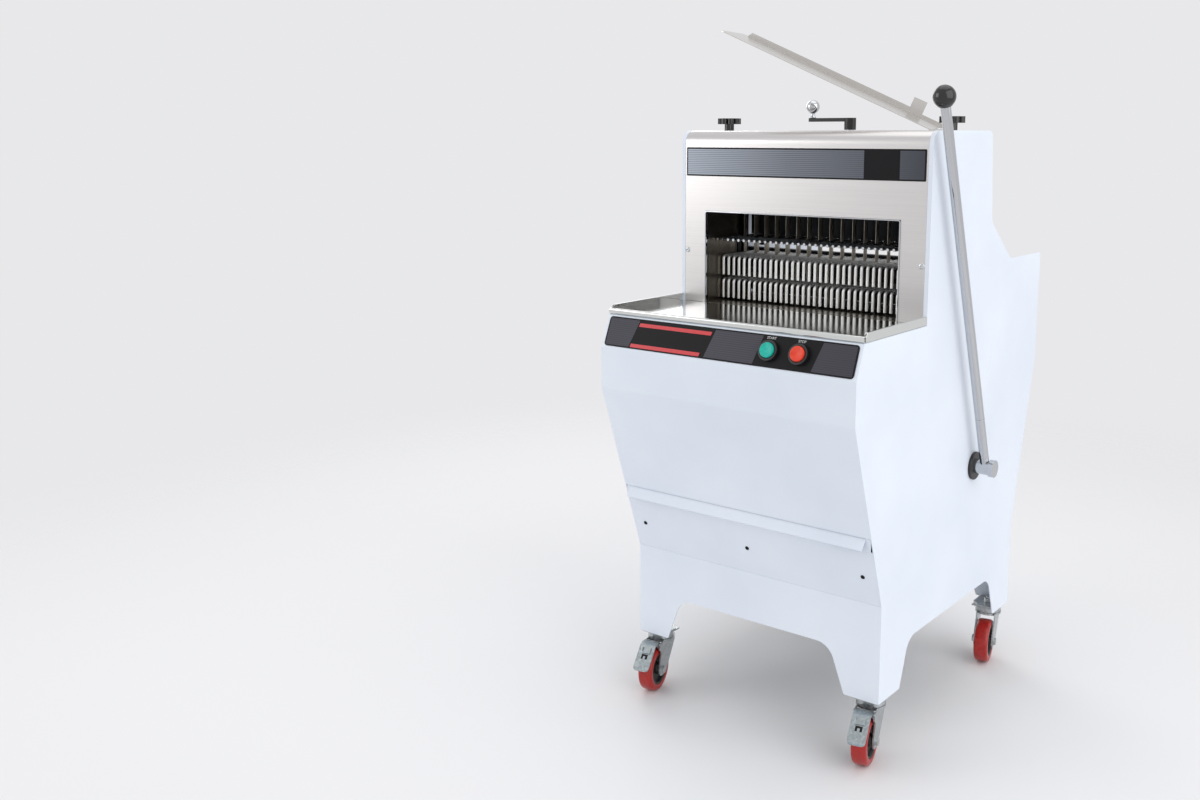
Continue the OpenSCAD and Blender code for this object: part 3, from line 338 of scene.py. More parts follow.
def makeBrushedSteel(name, hexLow, hexHigh, rough, relief):
    look = brushLook
    material, shader = startMaterial(name, hexHigh, 1.0, rough[1])
    coords = addNode(material, "ShaderNodeTexCoord")
    lines = addNode(material, "ShaderNodeMapping", None,
                    {"Vector": coords.outputs["Object"], "Scale": [1 / (size * mm) for size in look["line"]]})
    grit = addNode(material, "ShaderNodeTexNoise", None,
                   {"Vector": lines.outputs["Vector"], "Scale": 1.0, "Detail": 4.0})
    usePattern(material, shader, grit.outputs["Fac"], tuple(zip(look["stops"], (hexLow, hexHigh))), rough,
               relief=relief)
    return material


# plated or polished metal: near mirror, with slow smears from handling, their size in mm
plateLook = {"span": (0.3, 0.7)}


def makePlate(name, hexText, rough, smear):
    material, shader = startMaterial(name, hexText, 1.0, rough[1])
    coords = addNode(material, "ShaderNodeTexCoord")
    wipe = addNode(material, "ShaderNodeTexNoise", None,
                   {"Vector": coords.outputs["Object"], "Scale": 1 / (smear * mm), "Detail": 4.0})
    usePattern(material, shader, wipe.outputs["Fac"], rough=rough, span=plateLook["span"])
    return material


# zinc plate: matt grey crystals of a few mm, each a little lighter or darker
zincLook = {"flake": 4.0, "stops": (0.1, 0.9), "rough": (0.28, 0.42), "mean": 0.34}


def makeZinc(name, hexLow, hexHigh):
    look = zincLook
    material, shader = startMaterial(name, hexHigh, 1.0, look["mean"])
    coords = addNode(material, "ShaderNodeTexCoord")
    flakes = addNode(material, "ShaderNodeTexVoronoi", None,
                     {"Vector": coords.outputs["Object"], "Scale": 1 / (look["flake"] * mm)})
    usePattern(material, shader, flakes.outputs["Color"], tuple(zip(look["stops"], (hexLow, hexHigh))),
               look["rough"])
    return material


# moulded plastic, rubber or ink: eroded mould grain, its size in mm, and colour a little uneven
mouldLook = {"stops": (0.3, 0.7), "uneven": (0.85, 1.15)}


def makeMoulded(name, hexLow, hexHigh, rough, grainSize, relief, **sockets):
    look = mouldLook
    material, shader = startMaterial(name, hexHigh, 0.0, rough, **sockets)
    coords = addNode(material, "ShaderNodeTexCoord")
    grain = addNode(material, "ShaderNodeTexNoise", None,
                    {"Vector": coords.outputs["Object"], "Scale": 1 / (grainSize * mm), "Detail": 3.0})
    usePattern(material, shader, grain.outputs["Fac"], tuple(zip(look["stops"], (hexLow, hexHigh))),
               [rough * share for share in look["uneven"]], relief=relief)
    return material


# printed polyester film: fine level stripes, grey that fades along the machine's width
filmLook = {
    "rough": 0.5, "half": 290, "stops": (0.0, 0.45, 1.0),
    "pitch": 4.0,                   # mm between stripes
    "line": (0.55, 0.95), "ink": 0.6,
    "bands": 20 / (2 * math.pi),    # stripes in one unit of a wave of scale 1
}


def makeStripedFilm(name, greys, hexLine):
    look = filmLook
    material, shader = startMaterial(name, greys[1], 0.0, look["rough"], IOR=1.57, Specular_IOR_Level=0.2)
    coords = addNode(material, "ShaderNodeTexCoord")
    fade = addNode(material, "ShaderNodeSeparateXYZ", None, {"Vector": coords.outputs["Object"]})
    across = addNode(material, "ShaderNodeMapRange", None,
                     {"Value": fade.outputs["X"], "From Min": zeroX - look["half"] * mm,
                      "From Max": zeroX + look["half"] * mm})
    base = addNode(material, "ShaderNodeValToRGB", None, {"Fac": across.outputs["Result"]},
                   stops=tuple(zip(look["stops"], greys)))
    stripes = addNode(material, "ShaderNodeTexWave",
                      {"wave_type": "BANDS", "bands_direction": "Z", "wave_profile": "SIN"},
                      {"Vector": coords.outputs["Object"], "Scale": 1 / (look["pitch"] * mm) / look["bands"],
                       "Distortion": 0.0})
    lines = addNode(material, "ShaderNodeMapRange", None,
                    {"Value": stripes.outputs["Fac"], "From Min": look["line"][0],
                     "From Max": look["line"][1], "To Max": look["ink"]})
    # sockets 0, 6, 7 and 2 are the colour mix's factor, A, B and result
    addNode(material, "ShaderNodeMix", {"data_type": "RGBA"},
            {0: lines.outputs["Result"], 6: base.outputs["Color"], 7: linear(hexLine)},
            {2: shader.inputs["Base Color"]})
    return material


finish = {
    "white": makePowderCoat("powderCoatWhite"),
    # belt ground sheet: soft level streaks
    "hood": makeBrushedSteel("stainlessBrushed", "#CFCCCB", "#D6D3D2", (0.28, 0.34), 0.03),
    # ground, then buffed: a blurred mirror of what stands on it
    "tray": makeBrushedSteel("stainlessPolished", "#D6D8D6", "#E2E3E1", (0.11, 0.17), 0.01),
    # cold rolled sheet, dulled by wiping: even pale grey
    "scoop": makePlate("stainlessSatin", "#D3D0CC", (0.2, 0.28), 60),
    # as it leaves the mill: dull, streaks plain to see
    "inner": makeBrushedSteel("stainlessMill", "#A2A4A6", "#BDBEC0", (0.32, 0.46), 0.06),
    # ground sheet, darker and warmer than the hood: painted shade of the mouth
    "channel": makeBrushedSteel("stainlessChannel", "#7E776E", "#8E877E", (0.24, 0.32), 0.02),
    # decorative chrome on steel: sharp mirror
    "chrome": makePlate("chromePlate", "#C2C4C7", (0.03, 0.08), 45),
    # centreless ground bar: bright, a little blurred
    "rod": makePlate("groundSteelRod", "#C9CBCD", (0.10, 0.2), 30),
    # drawn bar, tumbled: pale and even from all sides
    "finger": makePlate("satinSteelRod", "#E6E6E4", (0.42, 0.52), 30),
    # ground flats, dulled by crumbs: warm grey
    "blade": makePlate("groundSpringSteel", "#B4ADA2", (0.42, 0.55), 20),
    # machined and oiled: mid grey, broad lights
    "steel": makePlate("oiledSteel", "#8A8C8F", (0.3, 0.45), 25),
    # blued fittings: near black, dull lights; on the hold-down bar this near black is painted shade
    "dark": makePlate("blackenedSteel", "#2E2F31", (0.45, 0.6), 25),
    # sand cast: dull grey, spotted
    "iron": makePlate("castIron", "#6A6B6D", (0.5, 0.65), 8),
    # dipped plate: faint crystals, a little bluer on the pedals
    "zinc": makeZinc("zincPlate", "#A9ADAF", "#C6CACB"),
    "pedal": makeZinc("zincPlatePedal", "#9AA3A6", "#B6BEC0"),
    # moulded with a fine grain: satin black
    "black": makeMoulded("abs", "#131314", "#1C1C1E", 0.4, 1.4, 0.08, IOR=1.53),
    # thermoset, polished: deep gloss black
    "phenolic": makeMoulded("phenolicResin", "#0B0B0C", "#121213", 0.16, 9.0, 0.0, IOR=1.6),
    # fine textured overlay: flat black with hardly a light on it
    "film": makeMoulded("polyesterFilm", "#0C0C0E", "#131316", 0.5, 2.0, 0.03, IOR=1.57,
                        Specular_IOR_Level=0.15),
    # cast tread: deep red with a soft sheen
    "red": makeMoulded("polyurethaneRed", "#99140F", "#B21F16", 0.3, 7.0, 0.02, IOR=1.5, Coat_Weight=0.1),
    # glass filled moulding: dull black
    "core": makeMoulded("polyamideBlack", "#151516", "#222224", 0.45, 1.6, 0.08, IOR=1.53),
    # smooth mouldings, dyed through: clean colour, small soft lights
    "green": makeMoulded("polycarbonateGreen", "#0FA596", "#19BBA9", 0.3, 6.0, 0.0, IOR=1.58,
                         Specular_IOR_Level=0.3),
    "stop": makeMoulded("polycarbonateRed", "#D9361F", "#E84A2E", 0.3, 6.0, 0.0, IOR=1.58,
                        Specular_IOR_Level=0.3),
    # milled block: waxy cream
    "guide": makeMoulded("polyethyleneGuide", "#E3E0D6", "#ECEAE2", 0.5, 3.0, 0.04, IOR=1.54),
    # sprayed and pulled into dimples: blue with broken lights
    "motor": makeMoulded("hammerPaint", "#3D5A86", "#4C6A97", 0.35, 4.0, 0.25, IOR=1.5),
    # moulded rubber with a cloth face: flat black
    "belt": makeMoulded("neopreneBelt", "#161616", "#222222", 0.7, 2.0, 0.15, IOR=1.52),
    # printed overlays: grey that fades across, ruled with darker lines
    "labelGrey": makeStripedFilm("labelFilmGrey", ("#B6BECA", "#7E838D", "#40424A"), "#43464D"),
    "fasciaGrey": makeStripedFilm("fasciaFilmGrey", ("#45444D", "#4A4952", "#403F47"), "#36353C"),
    # screen print: flat, even colour with a slight gloss
    "printRed": makeMoulded("screenInkRed", "#C2202A", "#CE2A33", 0.32, 3.0, 0.0, IOR=1.5),
    "printWhite": makeMoulded("screenInkWhite", "#DADADA", "#E4E4E4", 0.36, 3.0, 0.0, IOR=1.5),
}
print("finishes:", len(finish))


# node: finish, slot, softened edge in mm; None keeps the CAD node and only finishes it
nodeFinish = {
    "left_side_panel": ("white", "white_paint", 0.7),
    "right_side_panel": ("white", "white_paint", 0.7),
    "front_panel": ("white", "white_paint", 0.6),
    "lower_front_panel": ("white", "white_paint", 0.6),
    "aprons": ("white", "white_paint", 0.6),
    "rear_panel": ("white", "white_paint", 0.6),
    "hood_rear": ("white", "white_paint", 0.4),
    "crumb_tray": ("white", "white_paint", 0.5),
    "hood_cover": ("hood", "stainless", 0.5),
    "bagging_scoop": ("scoop", "stainless", 0.5),
    "feed_channel": ("channel", "stainless", 0.3),
    "rear_table": ("inner", "stainless", None),
    "fascia": ("film", "fascia_film", 0.3),
    "button_bezels": ("black", "black_plastic", 1.0),
    "lever_collar": ("black", "black_plastic", 1.6),
    "left_star_knob": ("phenolic", "black_plastic", 2.2),
    "right_star_knob": ("phenolic", "black_plastic", 2.2),
    "hand_crank": ("black", "black_plastic", 1.6),
    "lever_rod": ("chrome", "chrome", 0.8),
    "lever_hub": ("chrome", "chrome", 1.0),
    "lever_shaft": ("steel", "steel", 0.6),
    "pusher_fingers": ("finger", "polished", 0.0),
    "pusher_carriage": ("dark", "dark_steel", 0.5),
    "pusher_rails": ("rod", "polished", 0.6),
    "spindle": ("rod", "polished", 0.6),
    "upper_beam": ("dark", "dark_steel", 0.5),
    "inner_brackets": ("dark", "dark_steel", 0.5),
    "tray_runners": ("dark", "dark_steel", 0.4),
    "base_plates": ("zinc", "zinc", 0.5),
    "caster_stems": ("zinc", "zinc", 0.6),
    "front_left_fork": ("zinc", "zinc", 0.7),
    "front_right_fork": ("zinc", "zinc", 0.7),
    "rear_left_fork": ("zinc", "zinc", 0.7),
    "rear_right_fork": ("zinc", "zinc", 0.7),
    "guide_blocks": ("guide", "guide_plastic", 0.8),
    "front_knife_frame": ("dark", "dark_steel", 0.6),
    "rear_knife_frame": ("dark", "dark_steel", 0.6),
    "front_blades": ("blade", "polished", None),
    "rear_blades": ("blade", "polished", None),
    "crankshaft": ("steel", "steel", 0.6),
    "bearings": ("iron", "pulley_iron", 0.8),
    "driven_pulley": ("iron", "pulley_iron", 0.6),
    "motor_pulley": ("iron", "pulley_iron", 0.5),
    "belt": ("belt", "belt_rubber", 0.5),
    "motor": ("motor", "motor_paint", 1.2),
    "cable_gland": ("black", "black_plastic", 0.7),
}
for name, (key, slotName, width) in nodeFinish.items():
    if width is None:
        nodes[name].data.materials.clear()
        nodes[name].data.materials.append(finish[key])
    else:
        softenNode(name, finish[key], width)

# hold-down: ground rods under a near-black bar, parted at the height where they touch; the bar's near black
# is painted shade, the shade behind the blades
holdLook = {"touch": 1009 * mm, "slack": 0.001 * mm, "down": -0.9, "soft": 0.6}


def onBar(centre, normal):
    over = centre.z - holdLook["touch"]
    return over > holdLook["slack"] or (over > -holdLook["slack"] and normal.z < holdLook["down"])


def onRods(centre, normal):
    return not onBar(centre, normal)


softenNode("hold_down", finish["rod"], 0.0, title="holdRods", drop=onBar)
# the bar's near-black finish is painted shade
softenNode("hold_down", finish["dark"], holdLook["soft"], title="holdBar", drop=onRods)
print("softened:", sum(1 for row in nodeFinish.values() if row[2] is not None) + 1, "nodes")


# outfeed tray: polished floor, rolled front rim, hemmed side lips
trayLook = {
    "front": -258, "floor": 867.1, "rim": 879, "lip": 885, "wall": 1.6, "soft": 0.35, "smooth": 40,
    "bend": 4, "bendArc": (270, 180, 4),        # radius, then first angle, last angle and steps
    "roll": 3.0, "rollArc": (180, -40, 11),
    "hem": 2.2, "hemArc": (0, 210, 7),
    "back": -0.2, "lipBack": -0.5,              # floor and lips end just short of the hood
    "lipStart": 6, "sunk": 0.3,                 # lips start behind the rim and reach into the floor
    "cornerBack": 9, "cornerSlope": (0, -6, 9),     # plane that slants the lips' front corners
}


def makeTray():
    look = trayLook
    wall, bend, roll, hem = look["wall"], look["bend"], look["roll"], look["hem"]
    inner = cabinetLook["half"] - wall / 2
    y, start = look["front"] + wall / 2, look["front"] + look["lipStart"]
    line = [(look["back"], look["floor"])]
    line += arc((y + bend, look["floor"] + bend), bend, *look["bendArc"])
    line += arc((y + roll, look["rim"] - wall / 2 - roll), roll, *look["rollArc"])
    points = [(-inner, py, pz) for py, pz in line]
    sheets = [foldSheet("trayFloor", points, (2 * inner, 0, 0), wall, look["soft"])]
    line = [(inner, look["floor"] - look["sunk"])]
    line += arc((inner - hem, look["lip"] - wall / 2 - hem), hem, *look["hemArc"])
    for side, name in ((-1, "trayLipLeft"), (1, "trayLipRight")):
        points = [(side * px, start, pz) for px, pz in line]
        lip = foldSheet(name, points, (0, look["lipBack"] - start, 0), wall, look["soft"])
        editAll(lip)
        bpy.ops.mesh.bisect(plane_co=(0, (start + look["cornerBack"]) * mm, look["lip"] * mm),
                            plane_no=look["cornerSlope"], use_fill=True, clear_outer=True)
        sheets.append(lip)
    for sheet in sheets:
        turnTo(sheet, at(0, 0, 0))
        finishPiece(sheet, "cabinet", finish["tray"], ["outfeed_tray"], look["smooth"],
                    flat=True)


makeTray()
print("tray: floor, rim and lips")


# rubber wiper on the pusher's closing plate, just clear of the table
wiperLook = {"half": 236, "low": 868.6, "tall": 13.4, "thick": 2.5, "plate": 222, "corner": 1.0}


def makeWiper():
    look = wiperLook
    strip = cutPlate("pusherWiper", -look["half"], look["half"], 0, look["tall"], look["thick"],
                     look["corner"])
    turnTo(strip, at(0, look["plate"], look["low"]), x=90)
    finishPiece(strip, "pusher", finish["belt"])


makeWiper()
print("pusher: wiper")


# bright hem folded round the mouth
hemLook = {
    "half": 236.4, "low": 868.4, "high": 1071, "depth": 9.0, "proud": 2.0, "wall": 2.4, "soft": 0.5,
    "corner": 3.0, "waist": 0.3,    # corner's size, and where its middle lies as a share of it
}


def makeMouthHem():
    look = hemLook
    x, low, high = look["half"] - look["wall"] / 2, look["low"], look["high"] - look["wall"] / 2
    y, corner = -look["proud"], look["corner"]
    waist = corner * look["waist"]
    line = [(-x, low), (-x, high - corner), (-x + waist, high - waist), (-x + corner, high)]
    line += [(-px, pz) for px, pz in reversed(line)]
    hem = foldSheet("mouthHem", [(px, y, pz) for px, pz in line], (0, look["depth"] - y, 0),
                    look["wall"], look["soft"])
    turnTo(hem, at(0, 0, 0))
    finishPiece(hem, "cabinet", finish["chrome"], flat=True)


makeMouthHem()


# label band: black plate, two striped grey fields and a bare dark patch between them
labelLook = {
    "low": 1147, "high": 1209, "half": 286.7, "thick": 1.0, "corner": 2.0,
    "margin": 3.2, "skin": 0.3, "proud": 0.9,
    # left, right, corner and finish of each print
    "prints": {"labelField1": (-283.5, 152, 1.0, "labelGrey"), "labelField2": (231, 283.5, 1.0, "labelGrey"),
               "labelPatch": (156, 227, 2.0, "film")},
}


def makeLabel():
    look = labelLook
    tall = look["high"] - look["low"]
    plate = cutPlate("labelPlate", -look["half"], look["half"], 0, tall, look["thick"], look["corner"])
    turnTo(plate, at(0, 0, look["low"]), x=90)
    finishPiece(plate, "cabinet", finish["film"], ["label_band"])
    for name, (left, right, corner, key) in look["prints"].items():
        field = cutPlate(name, left, right, 0, tall - 2 * look["margin"], look["skin"], corner)
        turnTo(field, at(0, -look["proud"], look["low"] + look["margin"]), x=90)
        finishPiece(field, "cabinet", finish[key])


makeLabel()
print("hood: mouth hem and label band")


# fascia print, drawn flat on the leaning face: X across, Y up the face
fasciaLook = {
    "middle": (0, -269.5, 833), "tilt": 67.75, "proud": 1.4, "skin": 0.3,
    # upper and lower corner of each grey block's left and right side
    "blocks": (((-289.5, -289.5), (-213, -228)), ((-23, -39), (88, 75)), ((219, 204), (289.5, 289.5))),
    "blockHalf": 28.6, "blockCorner": 1.5,
    # left, right and middle height of each red stripe
    "stripes": ((-212, -32, 19.4), (-224, -50, -25.0)),
    "stripeHalf": 3.8, "stripeLean": 0.912, "stripeCorner": 0.6,
    # places of the marks and buttons
    "start": 106.6, "stop": 173.3, "letter": 7.0, "letterUp": 25.6, "letterSteps": 3,
}


def onFascia(piece, x=0.0, out=0.0):
    tilt = math.radians(fasciaLook["tilt"])
    mx, my, mz = fasciaLook["middle"]
    place = at(mx + x, my - out * math.sin(tilt), mz + out * math.cos(tilt))
    return turnTo(piece, place, x=fasciaLook["tilt"])


def printFascia(piece, key, x=0.0):
    finishPiece(onFascia(piece, x, fasciaLook["proud"]), "cabinet", finish[key])


def makeFasciaPrint():
    look = fasciaLook
    top = look["blockHalf"]
    for i, ((leftTop, leftLow), (rightTop, rightLow)) in enumerate(look["blocks"]):
        outline = [(leftLow, -top), (rightLow, -top), (rightTop, top), (leftTop, top)]
        block = cutShape("fasciaBlock" + str(i + 1), outline, look["skin"], look["blockCorner"])
        printFascia(block, "fasciaGrey")
    top, lean = look["stripeHalf"], look["stripeLean"]
    for i, (left, right, y) in enumerate(look["stripes"]):
        outline = [(left - lean, y - top), (right - lean, y - top),
                   (right + lean, y + top), (left + lean, y + top)]
        stripe = cutShape("fasciaStripe" + str(i + 1), outline, look["skin"], look["stripeCorner"])
        printFascia(stripe, "printRed")
    for word in ("start", "stop"):
        clearPick()
        bpy.ops.object.text_add()
        mark = bpy.context.object
        mark.name = word + "Mark"
        mark.data.body = word.upper()
        mark.data.size = look["letter"] * mm
        mark.data.align_x, mark.data.align_y = "CENTER", "CENTER"
        mark.data.extrude = look["skin"] / 2 * mm
        mark.data.resolution_u = look["letterSteps"]
        bpy.ops.object.convert(target="MESH")
        mark = bpy.context.object
        turnTo(mark, (0, look["letterUp"] * mm, look["skin"] / 2 * mm))
        editAll(mark)
        closeMesh(weld=True)
        printFascia(mark, "printWhite", look[word])


makeFasciaPrint()


# push buttons: stem and dished cap with a rolled edge
buttonLook = {
    "radius": 15, "seat": 7.6, "top": 14.0, "stem": 8, "tail": -22, "steps": 48,
    "chamfer": 0.6, "side": 2.4,        # foot of the cap, and how far below the top its side ends
    "edge": (2, 2.2), "edgeArc": (18, 90, 4),       # rolled edge in and down; angles and steps
    "rim": (4, 0.25),                   # flat rim inside the edge, in and down
    "dish": 1.1, "dishIn": 3, "rings": (8, 5, 2.5, 0),      # depth, start and radii of the dish
}


def makeButton(name, x, material, node):
    look = buttonLook
    r, seat, top, stem = look["radius"], look["seat"], look["top"], look["stem"]
    profile = [(0, look["tail"]), (stem, look["tail"]), (stem, seat)]
    profile += [(r - look["chamfer"], seat), (r, seat + look["chamfer"]), (r, top - look["side"])]
    across, down = look["edge"]
    profile += arc((r - across, top - down), across, *look["edgeArc"], tall=down)
    profile += [(r - look["rim"][0], top - look["rim"][1])]
    profile += [(q, top - look["dish"] * (1 - (q / (r - look["dishIn"])) ** 2)) for q in look["rings"]]
    button = turnProfile(name, profile, look["steps"])
    onFascia(button, x)
    finishPiece(button, node, material, [node])


makeButton("startButton", fasciaLook["start"], finish["green"], "start_button")
makeButton("stopButton", fasciaLook["stop"], finish["stop"], "stop_button")
print("fascia: print, marks and buttons")


# lever ball and crank ball
ballLook = {
    "smooth": 50,
    "lever": {"radius": 22, "length": 834, "lean": 19.9, "place": (327, 264, 523), "steps": 56, "rings": 22,
              "neck": 13.5, "collar": 1.5, "chamfer": (1, 0.9), "bore": 10.02, "socket": 4},
    "crank": {"radius": 15, "place": (-95, 215, 1273), "steps": 48, "rings": 20, "lift": 10, "from": -68,
              "neck": [(0, 0), (6.6, 0), (7.0, 0.5), (7.0, 2.5), (5.2, 4.5), (4.9, 7.5), (5.2, 10.6)]},
}


def makeLeverBall():
    look = ballLook["lever"]
    r, neck, bore = look["radius"], look["neck"], look["bore"]
    low = -math.sqrt(r * r - neck * neck)       # where the ball meets its neck
    foot = low - look["collar"]
    across, up = look["chamfer"]
    profile = [(bore, low + look["socket"]), (bore, foot), (neck - across, foot), (neck, foot + up)]
    profile += arc((0, 0), r, math.degrees(math.asin(low / r)), 90, look["rings"])[1:]
    ball = turnProfile("leverBall", profile, look["steps"])
    lean = math.radians(look["lean"])
    x, y, z = look["place"]
    place = at(x, y - look["length"] * math.sin(lean), z + look["length"] * math.cos(lean))
    turnTo(ball, place, x=look["lean"])
    finishPiece(ball, "lever", finish["phenolic"], ["lever_ball"], ballLook["smooth"])


def makeCrankBall():
    look = ballLook["crank"]
    r = look["radius"]
    profile = look["neck"] + arc((0, look["lift"] + r), r, look["from"], 90, look["rings"])[1:]
    ball = turnProfile("crankBall", profile, look["steps"])
    turnTo(ball, at(*look["place"]))
    finishPiece(ball, "hand_crank", finish["chrome"], ["crank_ball"], ballLook["smooth"])


makeLeverBall()
makeCrankBall()
print("balls: lever and crank")


# caster wheels: cast red tread on a black core with steel bearing caps
wheelLook = {
    "radius": 50, "trail": 38, "turn": 12, "steps": 72, "capSteps": 40, "smooth": 40,
    "places": {"front_left": (-267, -122), "front_right": (267, -122),
               "rear_left": (-267, 474), "rear_right": (267, 474)},
    # profiles of radius and place across: one half of the tread and the core, all of one cap
    "tread": [(36, -15.5), (38, -16), (44.5, -16), (47, -15.2), (48.8, -13.4), (49.7, -10.5), (50, -7)],
    "core": [(5.05, -16.6), (12, -16.6), (13, -15.4), (13.8, -8.6), (20, -8), (29, -8.4), (30.6, -13),
             (31.4, -14.4), (36, -15)],
    "cap": [(5.05, -17), (8.5, -17), (9.2, -16.4), (9.2, -14), (5.05, -14), (5.05, -17)],
}


def turnBothHalves(name, half, steps):
    return turnProfile(name, half + [(r, -h) for r, h in reversed(half)] + half[:1], steps)


def makeWheels():
    look = wheelLook
    tread = turnBothHalves("tread", look["tread"], look["steps"])
    core = turnBothHalves("wheelCore", look["core"], look["steps"])
    cap = turnProfile("bearingCap", look["cap"], look["capSteps"])
    editAll(cap)
    bpy.ops.mesh.duplicate()
    bpy.ops.transform.resize(value=(1, 1, -1), center_override=(0, 0, 0))
    closeMesh()
    rows = ((tread, "Tread", "red", "red_tread"), (core, "Core", "core", "black_plastic"),
            (cap, "Cap", "zinc", "zinc"))
    turn = math.radians(look["turn"])
    for corner, (x, y) in look["places"].items():
        place = at(x + look["trail"] * math.sin(turn), y - look["trail"] * math.cos(turn), look["radius"])
        wheel = corner + "_wheel"
        for piece, label, key, slotName in rows:
            part = copyPiece(piece, joinName(corner) + label)
            turnTo(part, place, y=90, z=look["turn"])
            finishPiece(part, wheel, finish[key], [wheel], look["smooth"])
    for piece in (tread, core, cap):
        bpy.data.objects.remove(piece)


# brake pedals: corners cropped round at the toe, a stiffening bead, a tongue in the window
# and a rubber pad that closes the window from behind
pedalLook = {
    "corners": ("front_left", "front_right"),
    "toe": (-105.2, 74), "slope": 46.43, "sheet": 3, "soft": 0.5,
    "crop": {"half": 18.52, "end": -5.2, "reach": 160, "corner": 9, "steps": 6},
    "bead": {"half": 11, "tall": 14, "thick": 3, "up": 36, "proud": 1.2, "sunk": 0.3,
             "corner": 1.2, "soft": 0.5},
    "tongue": {"half": 2.6, "tall": 7, "thick": 1.6, "up": 22.3, "corner": 0.8},
    "pad": {"half": 10, "tall": 8, "thick": 2.5, "up": 28.2898, "out": -5.799, "corner": 2.0},
}


# lays a piece on the pedal's slope, so far up from the toe and out from the sheet's middle
def onPedal(piece, corner, up, out):
    look = pedalLook
    slope, turn = math.radians(look["slope"]), math.radians(wheelLook["turn"])
    x, y = wheelLook["places"][corner]
    back = look["toe"][0] + up * math.cos(slope) - out * math.sin(slope)
    height = look["toe"][1] + up * math.sin(slope) + out * math.cos(slope)
    place = at(x - back * math.sin(turn), y + back * math.cos(turn), height)
    return turnTo(piece, place, x=look["slope"], z=wheelLook["turn"])


def makePad(corner):
    look = pedalLook["pad"]
    half, tall = look["half"], look["tall"]
    pad = cutPlate(joinName(corner) + "Pad", -half, half, -tall, tall, look["thick"], look["corner"])
    onPedal(pad, corner, look["up"], look["out"])
    finishPiece(pad, corner + "_pedal", finish["belt"])


def makePedal(corner):
    look, node = pedalLook, corner + "_pedal"
    crop, bead, tongue = look["crop"], look["bead"], look["tongue"]
    block = cutPlate("pedalCrop", -crop["half"], crop["half"], crop["end"], crop["reach"], crop["reach"],
                     crop["corner"], crop["steps"])
    onPedal(block, corner, 0, -crop["reach"] / 2)
    softenNode(node, finish["pedal"], look["soft"], trim=block)
    bpy.data.objects.remove(block)

    a, b, t = bead["half"], bead["tall"], bead["thick"]
    outline = [(-a, b), (-a, 0), (a, 0), (a, b), (a - t, b), (a - t, t), (t - a, t), (t - a, b)]
    rib = cutShape(joinName(corner) + "Bead", outline, bead["proud"] + bead["sunk"], bead["corner"])
    softenEdges(rib, bead["soft"], toolLook["fold"])
    onPedal(rib, corner, bead["up"], look["sheet"] / 2 - bead["sunk"])
    finishPiece(rib, node, finish["pedal"])

    tab = cutPlate(joinName(corner) + "Tongue", -tongue["half"], tongue["half"], 0, tongue["tall"],
                   tongue["thick"], tongue["corner"])
    onPedal(tab, corner, tongue["up"], -tongue["thick"] / 2)
    finishPiece(tab, node, finish["pedal"])


makeWheels()
for corner in pedalLook["corners"]:
    makePad(corner)
for corner in pedalLook["corners"]:
    makePedal(corner)
print("casters: treads, cores, caps, pads and pedals")


# button-head screws with a socket; a row is its places, tilt, breadth and finish
rearFace = (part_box("rear_panel")[1].y - zeroY) / mm
screwLook = {
    "head": [(0, 0.9), (1.5, 0.9), (1.6, 2.25), (1.9, 2.4), (2.6, 2.25), (3.5, 1.7), (4.2, 1.0), (4.5, 0.5),
             (4.5, 0), (0, 0)],
    "steps": 30,
    "hood": (((-284, 0, 982.6), (284, 0, 982.6)), 90, 1.4, "rod"),
    "panel": (((-268, -175.49, 393), (0, -175.49, 393), (268, -175.49, 393)), 108.57, 1.0, "dark"),
    "scoop": (((276.9, 71.4, 1247), (274.8, 86.9, 1247)), 0, 1.0, "rod"),
    "rear": (((-272, rearFace, 800), (0, rearFace, 800), (272, rearFace, 800)), -90, 1.0, "dark"),
}


def makeScrews():
    look = screwLook
    head = turnProfile("screwHead", look["head"], look["steps"])
    count = 0
    for row in ("hood", "panel", "scoop", "rear"):
        places, tilt, broad, key = look[row]
        for place in places:
            count += 1
            screw = copyPiece(head, "screw" + str(count))
            editAll(screw)
            bpy.ops.transform.resize(value=(broad, broad, 1), center_override=(0, 0, 0))
            turnTo(screw, at(*place), x=tilt)
            finishPiece(screw, "cabinet", finish[key], ["screws"])
    bpy.data.objects.remove(head)
    print("screws:", count)


makeScrews()


# stage: pale floor that fades into a pale background, soft lamps, the photo's camera
stageLook = {
    "pale": "#E8E8EA", "sky": 0.68, "rough": 0.7,
    "near": 1.3, "far": 3.2, "rim": 0.5, "sides": 96,   # m: the floor fades from near to far, then a rim
    "aim": (0, 0, 0.75),
    # place, size and power of each lamp
    "lamps": {"key": ((3.6, -0.7, 2.3), 4.5, 80), "fill": ((-3.3, -2.9, 2.0), 2.4, 38),
              "roof": ((0.0, 0.4, 4.0), 3.0, 24), "back": ((-3.4, 2.4, 2.4), 2.4, 34)},
    "camera": {"place": (1.2688, -2.2999, 1.2375), "tilt": 80.043, "turn": 37.47, "lens": 35.6, "sensor": 36,
               "shift": (-0.0543, -0.0479)},
}


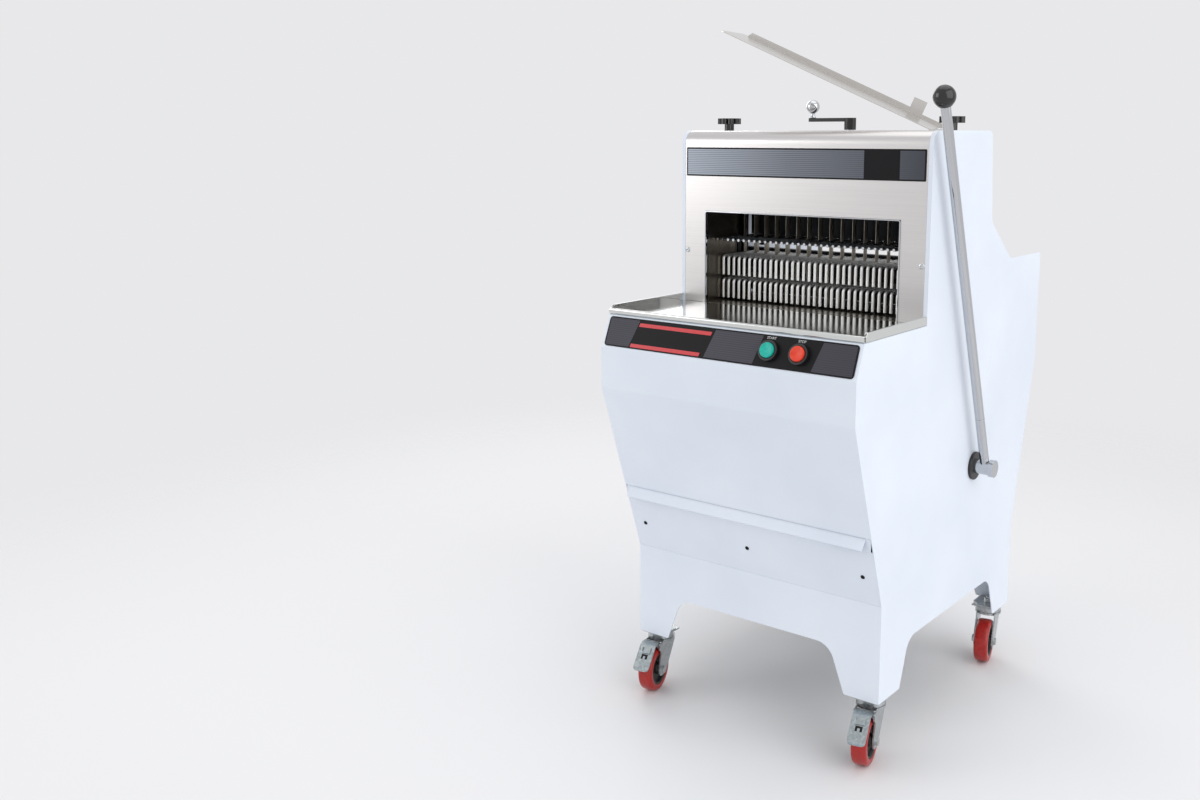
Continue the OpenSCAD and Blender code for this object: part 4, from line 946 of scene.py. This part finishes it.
# matt vinyl floor: clear towards its rim, so no edge shows
def makeFloor():
    look = stageLook
    clearPick()
    bpy.ops.mesh.primitive_circle_add(vertices=look["sides"], radius=look["far"] + look["rim"],
                                      fill_type="NGON")
    floor = bpy.context.object
    floor.name = "floor"
    material, shader = startMaterial("paleFloor", look["pale"], 0.0, look["rough"], IOR=1.45)
    coords = addNode(material, "ShaderNodeTexCoord")
    reach = addNode(material, "ShaderNodeVectorMath", {"operation": "LENGTH"}, {0: coords.outputs["Object"]})
    fade = addNode(material, "ShaderNodeMapRange", {"interpolation_type": "SMOOTHSTEP"},
                   {"Value": reach.outputs["Value"], "From Min": look["near"], "From Max": look["far"]})
    clear = addNode(material, "ShaderNodeBsdfTransparent")
    addNode(material, "ShaderNodeMixShader", None,
            {0: fade.outputs["Result"], 1: shader.outputs["BSDF"], 2: clear.outputs["BSDF"]},
            {"Shader": material.node_tree.nodes["Material Output"].inputs["Surface"]})
    floor.data.materials.append(material)


# white light from all round, but the pale background for what is seen, mirrored or seen through
def makeSky():
    look = stageLook
    world = bpy.data.worlds.new("studio")
    bpy.context.scene.world = world
    world.use_nodes = True
    sky = world.node_tree.nodes["Background"]
    sky.inputs["Color"].default_value = (1, 1, 1, 1)
    sky.inputs["Strength"].default_value = look["sky"]
    seen = addNode(world, "ShaderNodeBackground", None, {"Color": linear(look["pale"]), "Strength": 1.0})
    path = addNode(world, "ShaderNodeLightPath")
    direct = addNode(world, "ShaderNodeMath", {"operation": "MAXIMUM"},
                     {0: path.outputs["Is Camera Ray"], 1: path.outputs["Is Glossy Ray"]})
    through = addNode(world, "ShaderNodeMath", {"operation": "MAXIMUM"},
                      {0: direct.outputs["Value"], 1: path.outputs["Is Transmission Ray"]})
    addNode(world, "ShaderNodeMixShader", None,
            {0: through.outputs["Value"], 1: sky.outputs["Background"], 2: seen.outputs["Background"]},
            {"Shader": world.node_tree.nodes["World Output"].inputs["Surface"]})


def makeLamps():
    for name, (place, size, power) in stageLook["lamps"].items():
        clearPick()
        bpy.ops.object.light_add(type="AREA", location=place)
        lamp = bpy.context.object
        lamp.name = name + "Lamp"
        lamp.data.size = size
        lamp.data.energy = power
        lamp.rotation_euler = (Vector(stageLook["aim"]) - Vector(place)).to_track_quat("-Z", "Y").to_euler()


def makeCamera():
    look = stageLook["camera"]
    clearPick()
    bpy.ops.object.camera_add(location=look["place"],
                              rotation=(math.radians(look["tilt"]), 0, math.radians(look["turn"])))
    camera = bpy.context.object
    camera.data.lens = look["lens"]
    camera.data.sensor_width = look["sensor"]
    camera.data.shift_x, camera.data.shift_y = look["shift"]
    bpy.context.scene.camera = camera
    bpy.context.scene.view_settings.view_transform = "Standard"


makeFloor()
makeSky()
makeLamps()
makeCamera()
print("stage: floor, sky, lamps and camera")

clearPick()
